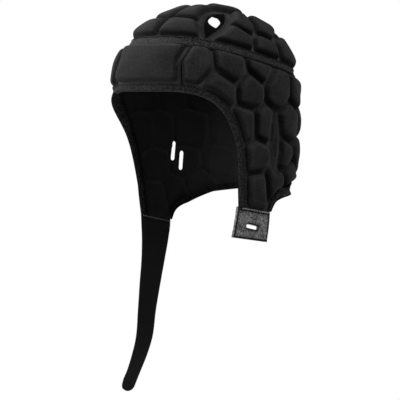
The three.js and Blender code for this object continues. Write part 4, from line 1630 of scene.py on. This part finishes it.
@dataclass
class ChinStrap:
    """The tapering strap on the end of the right flap, hanging free."""

    name: str = "hanging_strap"
    node: str = "chin_strap"
    thickness: float = 2.4
    lap: float = 3.0
    step: float = 2.0
    zigzags: int = 19                              # corners of the zigzag across its root
    zigzag_drop: tuple[float, float] = (4.3, 3.1)  # how far below the root they lie, by turns
    row_drop: float = 8.0                          # how far below the root the dark row lies
    soft: tuple[float, float] = (0.35, 0.8)        # powers of its outline, across and through
    # Stations down the strap: z, x, y, width and slant in degrees
    rows: ClassVar[tuple[tuple[float, float, float, float, float], ...]] = (
        (-136, -71.5, -4.3, 45.8, 12.5), (-159, -70.0, -6.9, 40.4, 6), (-180, -70.6, -9.2, 35.8, 3),
        (-205, -72.4, -12, 32.1, 3), (-235, -74.5, -15, 27.6, 4), (-268, -76.5, -18.2, 24.9, 6),
        (-288, -80.5, -22.2, 22.4, 8), (-303, -85.5, -24.8, 20.4, 9), (-315, -90.0, -26.9, 20.2, 10),
        (-320, -91.2, -27.8, 18.6, 10), (-323.6, -91.9, -28.3, 13.4, 10), (-325.2, -92.2, -28.5, 5, 10))

    def _stations(self) -> tuple[Array, Array, Array, Array]:
        """Runs a smooth curve through the rows, from the lap on the flap to the tip.

        Returns:
            Middles, half widths across, half thicknesses and distances down the strap.
        """
        table = np.vstack([np.array(self.rows[0]) + (self.lap, *[0.0] * 4), self.rows])
        reach = reach_along(table[:, :3])
        at = np.linspace(0, reach[-1], round(reach[-1] / self.step) + 1)
        slope = np.gradient(table, reach, axis=0)
        k = np.clip(np.searchsorted(reach, at, side="right") - 1, 0, len(reach) - 2)
        span = (reach[k + 1] - reach[k])[:, None]
        t = (at - reach[k])[:, None] / span
        smooth = ((2 * t ** 3 - 3 * t ** 2 + 1) * table[k] + (t ** 3 - 2 * t ** 2 + t) * span * slope[k]
                  + (3 * t ** 2 - 2 * t ** 3) * table[k + 1] + (t ** 3 - t ** 2) * span * slope[k + 1])
        z, x, y, width, slant = smooth.T
        middle = np.stack([x, y, z], axis=1)
        turn = np.radians(slant)
        wide = np.stack([np.zeros_like(turn), np.cos(turn), -np.sin(turn)], axis=1)
        thick = unit(np.cross(np.gradient(middle, axis=0), wide))
        return middle, wide * (width / 2)[:, None], thick * self.thickness / 2, at

    def build(self) -> list[bpy.types.Object]:
        """Makes the strap with soft edges and sews its root.

        Returns:
            The strap and its stitches.
        """
        middle, wide, thick, at = self._stations()
        half = np.linalg.norm(wide, axis=1)
        turn = np.linspace(0, 2 * np.pi, 29)[:-1]
        w, t = (np.sign(wave) * np.abs(wave) ** power
                for wave, power in zip((np.cos(turn), np.sin(turn)), self.soft))
        places = middle[:, None] + wide[:, None] * w[:, None] + thick[:, None] * t[:, None]
        flat = np.stack(np.broadcast_arrays(half[:, None] * w, at[:, None]), axis=-1)
        made = dressed(self.name, places.reshape(-1, 3), tube_faces(len(at), len(turn)), flat.reshape(-1, 2),
                       [STRAP_TWILL])
        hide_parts(self.node)
        return [made, *self._sewing(middle[0], wide[0], thick[0])]

    def _sewing(self, root: Array, wide: Array, thick: Array) -> list[bpy.types.Object]:
        """Sews the pale zigzag across the strap's root and a dark row below it, on both faces.

        Args:
            root: Middle of the root.
            wide: Half its width.
            thick: Half its thickness.

        Returns:
            The pale stitches and the dark ones.
        """
        pale = Stitching("strap_zigzag", PALE_THREAD, 0.15, 0.2)
        black = Stitching("strap_stitches", BLACK_THREAD, 0.45, 0.3)
        across = np.linspace(-0.97, 0.97, self.zigzags)[:, None]
        drop = np.where(np.arange(self.zigzags)[:, None] % 2, *self.zigzag_drop) * (0.0, 0.0, -1.0)
        dark = np.linspace(-0.95, 0.95, 40)[:, None]
        for out in (thick, -thick):
            corners = root + wide * across + drop + out * 1.6
            line = root + wide * dark + out * 1.1 - (0.0, 0.0, self.row_drop)
            pale.zigzag(corners, np.broadcast_to(unit(out), corners.shape))
            black.row(line, np.broadcast_to(unit(out), line.shape), length=2.2, space=1.0)
        return [pale.build(Slot.STRAP), black.build(Slot.STRAP)]


@dataclass
class Studio:
    """A pale floor far below, a white backdrop, four soft lamps and the camera at the photograph's angle."""

    azimuth: float = 43.0
    distance: float = 1.6
    aim: tuple[float, float, float] = (-0.0052, -0.0049, -0.1137)
    lens: float = 137.1
    floor_height: float = -0.6
    floor_radius: float = 0.9
    floor_sides: int = 96
    lamp_aim: tuple[float, float, float] = (0.0, 0.0, -0.05)
    surround: float = 0.23     # strength of the white surround as a light
    # Each lamp's place in metres, its side in metres and its power in watts
    lamps: ClassVar[dict[str, tuple[tuple[float, float, float], float, float]]] = {
        "key": ((0.95, 0.22, 1.30), 0.8, 25.0), "left": ((-1.30, -0.45, 0.75), 0.7, 29.0),
        "front": ((-0.05, -1.10, 0.10), 0.45, 10.5), "overhead": ((0.20, 0.45, 1.45), 0.8, 5.0),
    }

    @staticmethod
    def _facing(place: Sequence[float], aim: Sequence[float]) -> Euler:
        """Turns a lamp or a camera towards a place."""
        return (Vector(aim) - Vector(place)).to_track_quat("-Z", "Y").to_euler()

    def _floor(self) -> None:
        """Lays a round pale floor well below the strap."""
        mesh = bpy.data.meshes.new("studio_floor")
        turn = np.arange(self.floor_sides) / self.floor_sides * 2 * np.pi
        rim = np.stack([np.cos(turn), np.sin(turn), np.zeros_like(turn)], axis=1) * self.floor_radius
        mesh.from_pydata((rim + (0, 0, self.floor_height)).tolist(), [], [tuple(range(self.floor_sides))])
        paint = bpy.data.materials.new("pale matt paint, rolled")
        paint.use_nodes = True
        tree = paint.node_tree
        tree.nodes.clear()
        grain = add_node(tree, "ShaderNodeTexNoise", {"Scale": 300.0, "Detail": 3.0}).outputs["Fac"]
        bump = add_node(tree, "ShaderNodeBump", {"Height": grain, "Strength": 0.1, "Distance": 0.0005})
        surface = add_node(tree, "ShaderNodeBsdfPrincipled", {"Base Color": linear("#e8e8e8"), "Roughness": 0.8,
                           "Normal": bump.outputs["Normal"]})
        add_node(tree, "ShaderNodeOutputMaterial", {"Surface": surface.outputs["BSDF"]})
        mesh.materials.append(paint)
        add_object("studio_floor", mesh)

    def _sky(self) -> None:
        """Gives a white backdrop, with a much dimmer room around that lights the headguard."""
        world = bpy.data.worlds.new("white_surround")
        bpy.context.scene.world = world
        world.use_nodes = True
        tree = world.node_tree
        tree.nodes.clear()
        seen = add_node(tree, "ShaderNodeLightPath").outputs["Is Camera Ray"]
        light = add_node(tree, "ShaderNodeMapRange", {"Value": seen, "To Min": self.surround, "To Max": 1.0})
        back = add_node(tree, "ShaderNodeBackground", {"Color": (1, 1, 1, 1), "Strength": light.outputs[0]})
        add_node(tree, "ShaderNodeOutputWorld", {"Surface": back.outputs["Background"]})

    def _hang(self) -> None:
        """Hangs the square lamps, which face the headguard."""
        for name, (place, size, power) in self.lamps.items():
            data = bpy.data.lights.new(name, "AREA")
            data.size, data.energy = size, power
            lamp = add_object(name, data)
            lamp.location, lamp.rotation_euler = place, self._facing(place, self.lamp_aim)

    def _camera(self) -> None:
        """Sets the camera at the photograph's angle."""
        data = bpy.data.cameras.new("camera")
        data.lens, data.sensor_width = self.lens, 36.0
        camera = add_object("camera", data)
        turn = math.radians(self.azimuth)
        place = Vector((math.sin(turn), -math.cos(turn), 0)) * self.distance
        camera.location, camera.rotation_euler = place, self._facing(place, self.aim)
        bpy.context.scene.camera = camera

    def build(self) -> None:
        """Sets up the studio."""
        bpy.context.scene.view_settings.view_transform = "Standard"
        self._camera()
        self._floor()
        self._sky()
        self._hang()


def main() -> None:
    """Builds the headguard in order and notes each piece."""
    logging.basicConfig(level=logging.INFO, format="%(message)s")
    Studio().build()
    panels: list[PaddedPanel] = [
        BrowPanel("brow_pad", "brow_panel", wall_shade=0.6, ripple=0.3),
        SidePanel("left_side_pads", "side_panel_left", side=Side.LEFT),
        SidePanel("right_side_pads", "side_panel_right", side=Side.RIGHT, slit_length=21.2, slit_width=5.2),
        CrownPanel("crown_pads", "crown_panel"),
    ]
    pieces = [panel.build() for panel in panels]
    for part in (Trim(), StrapTab(), ChinStrap()):
        pieces += part.build()
    for piece in pieces:
        log.info("%s: %d faces", piece.name, len(piece.data.polygons))


if __name__ == "__main__":
    main()
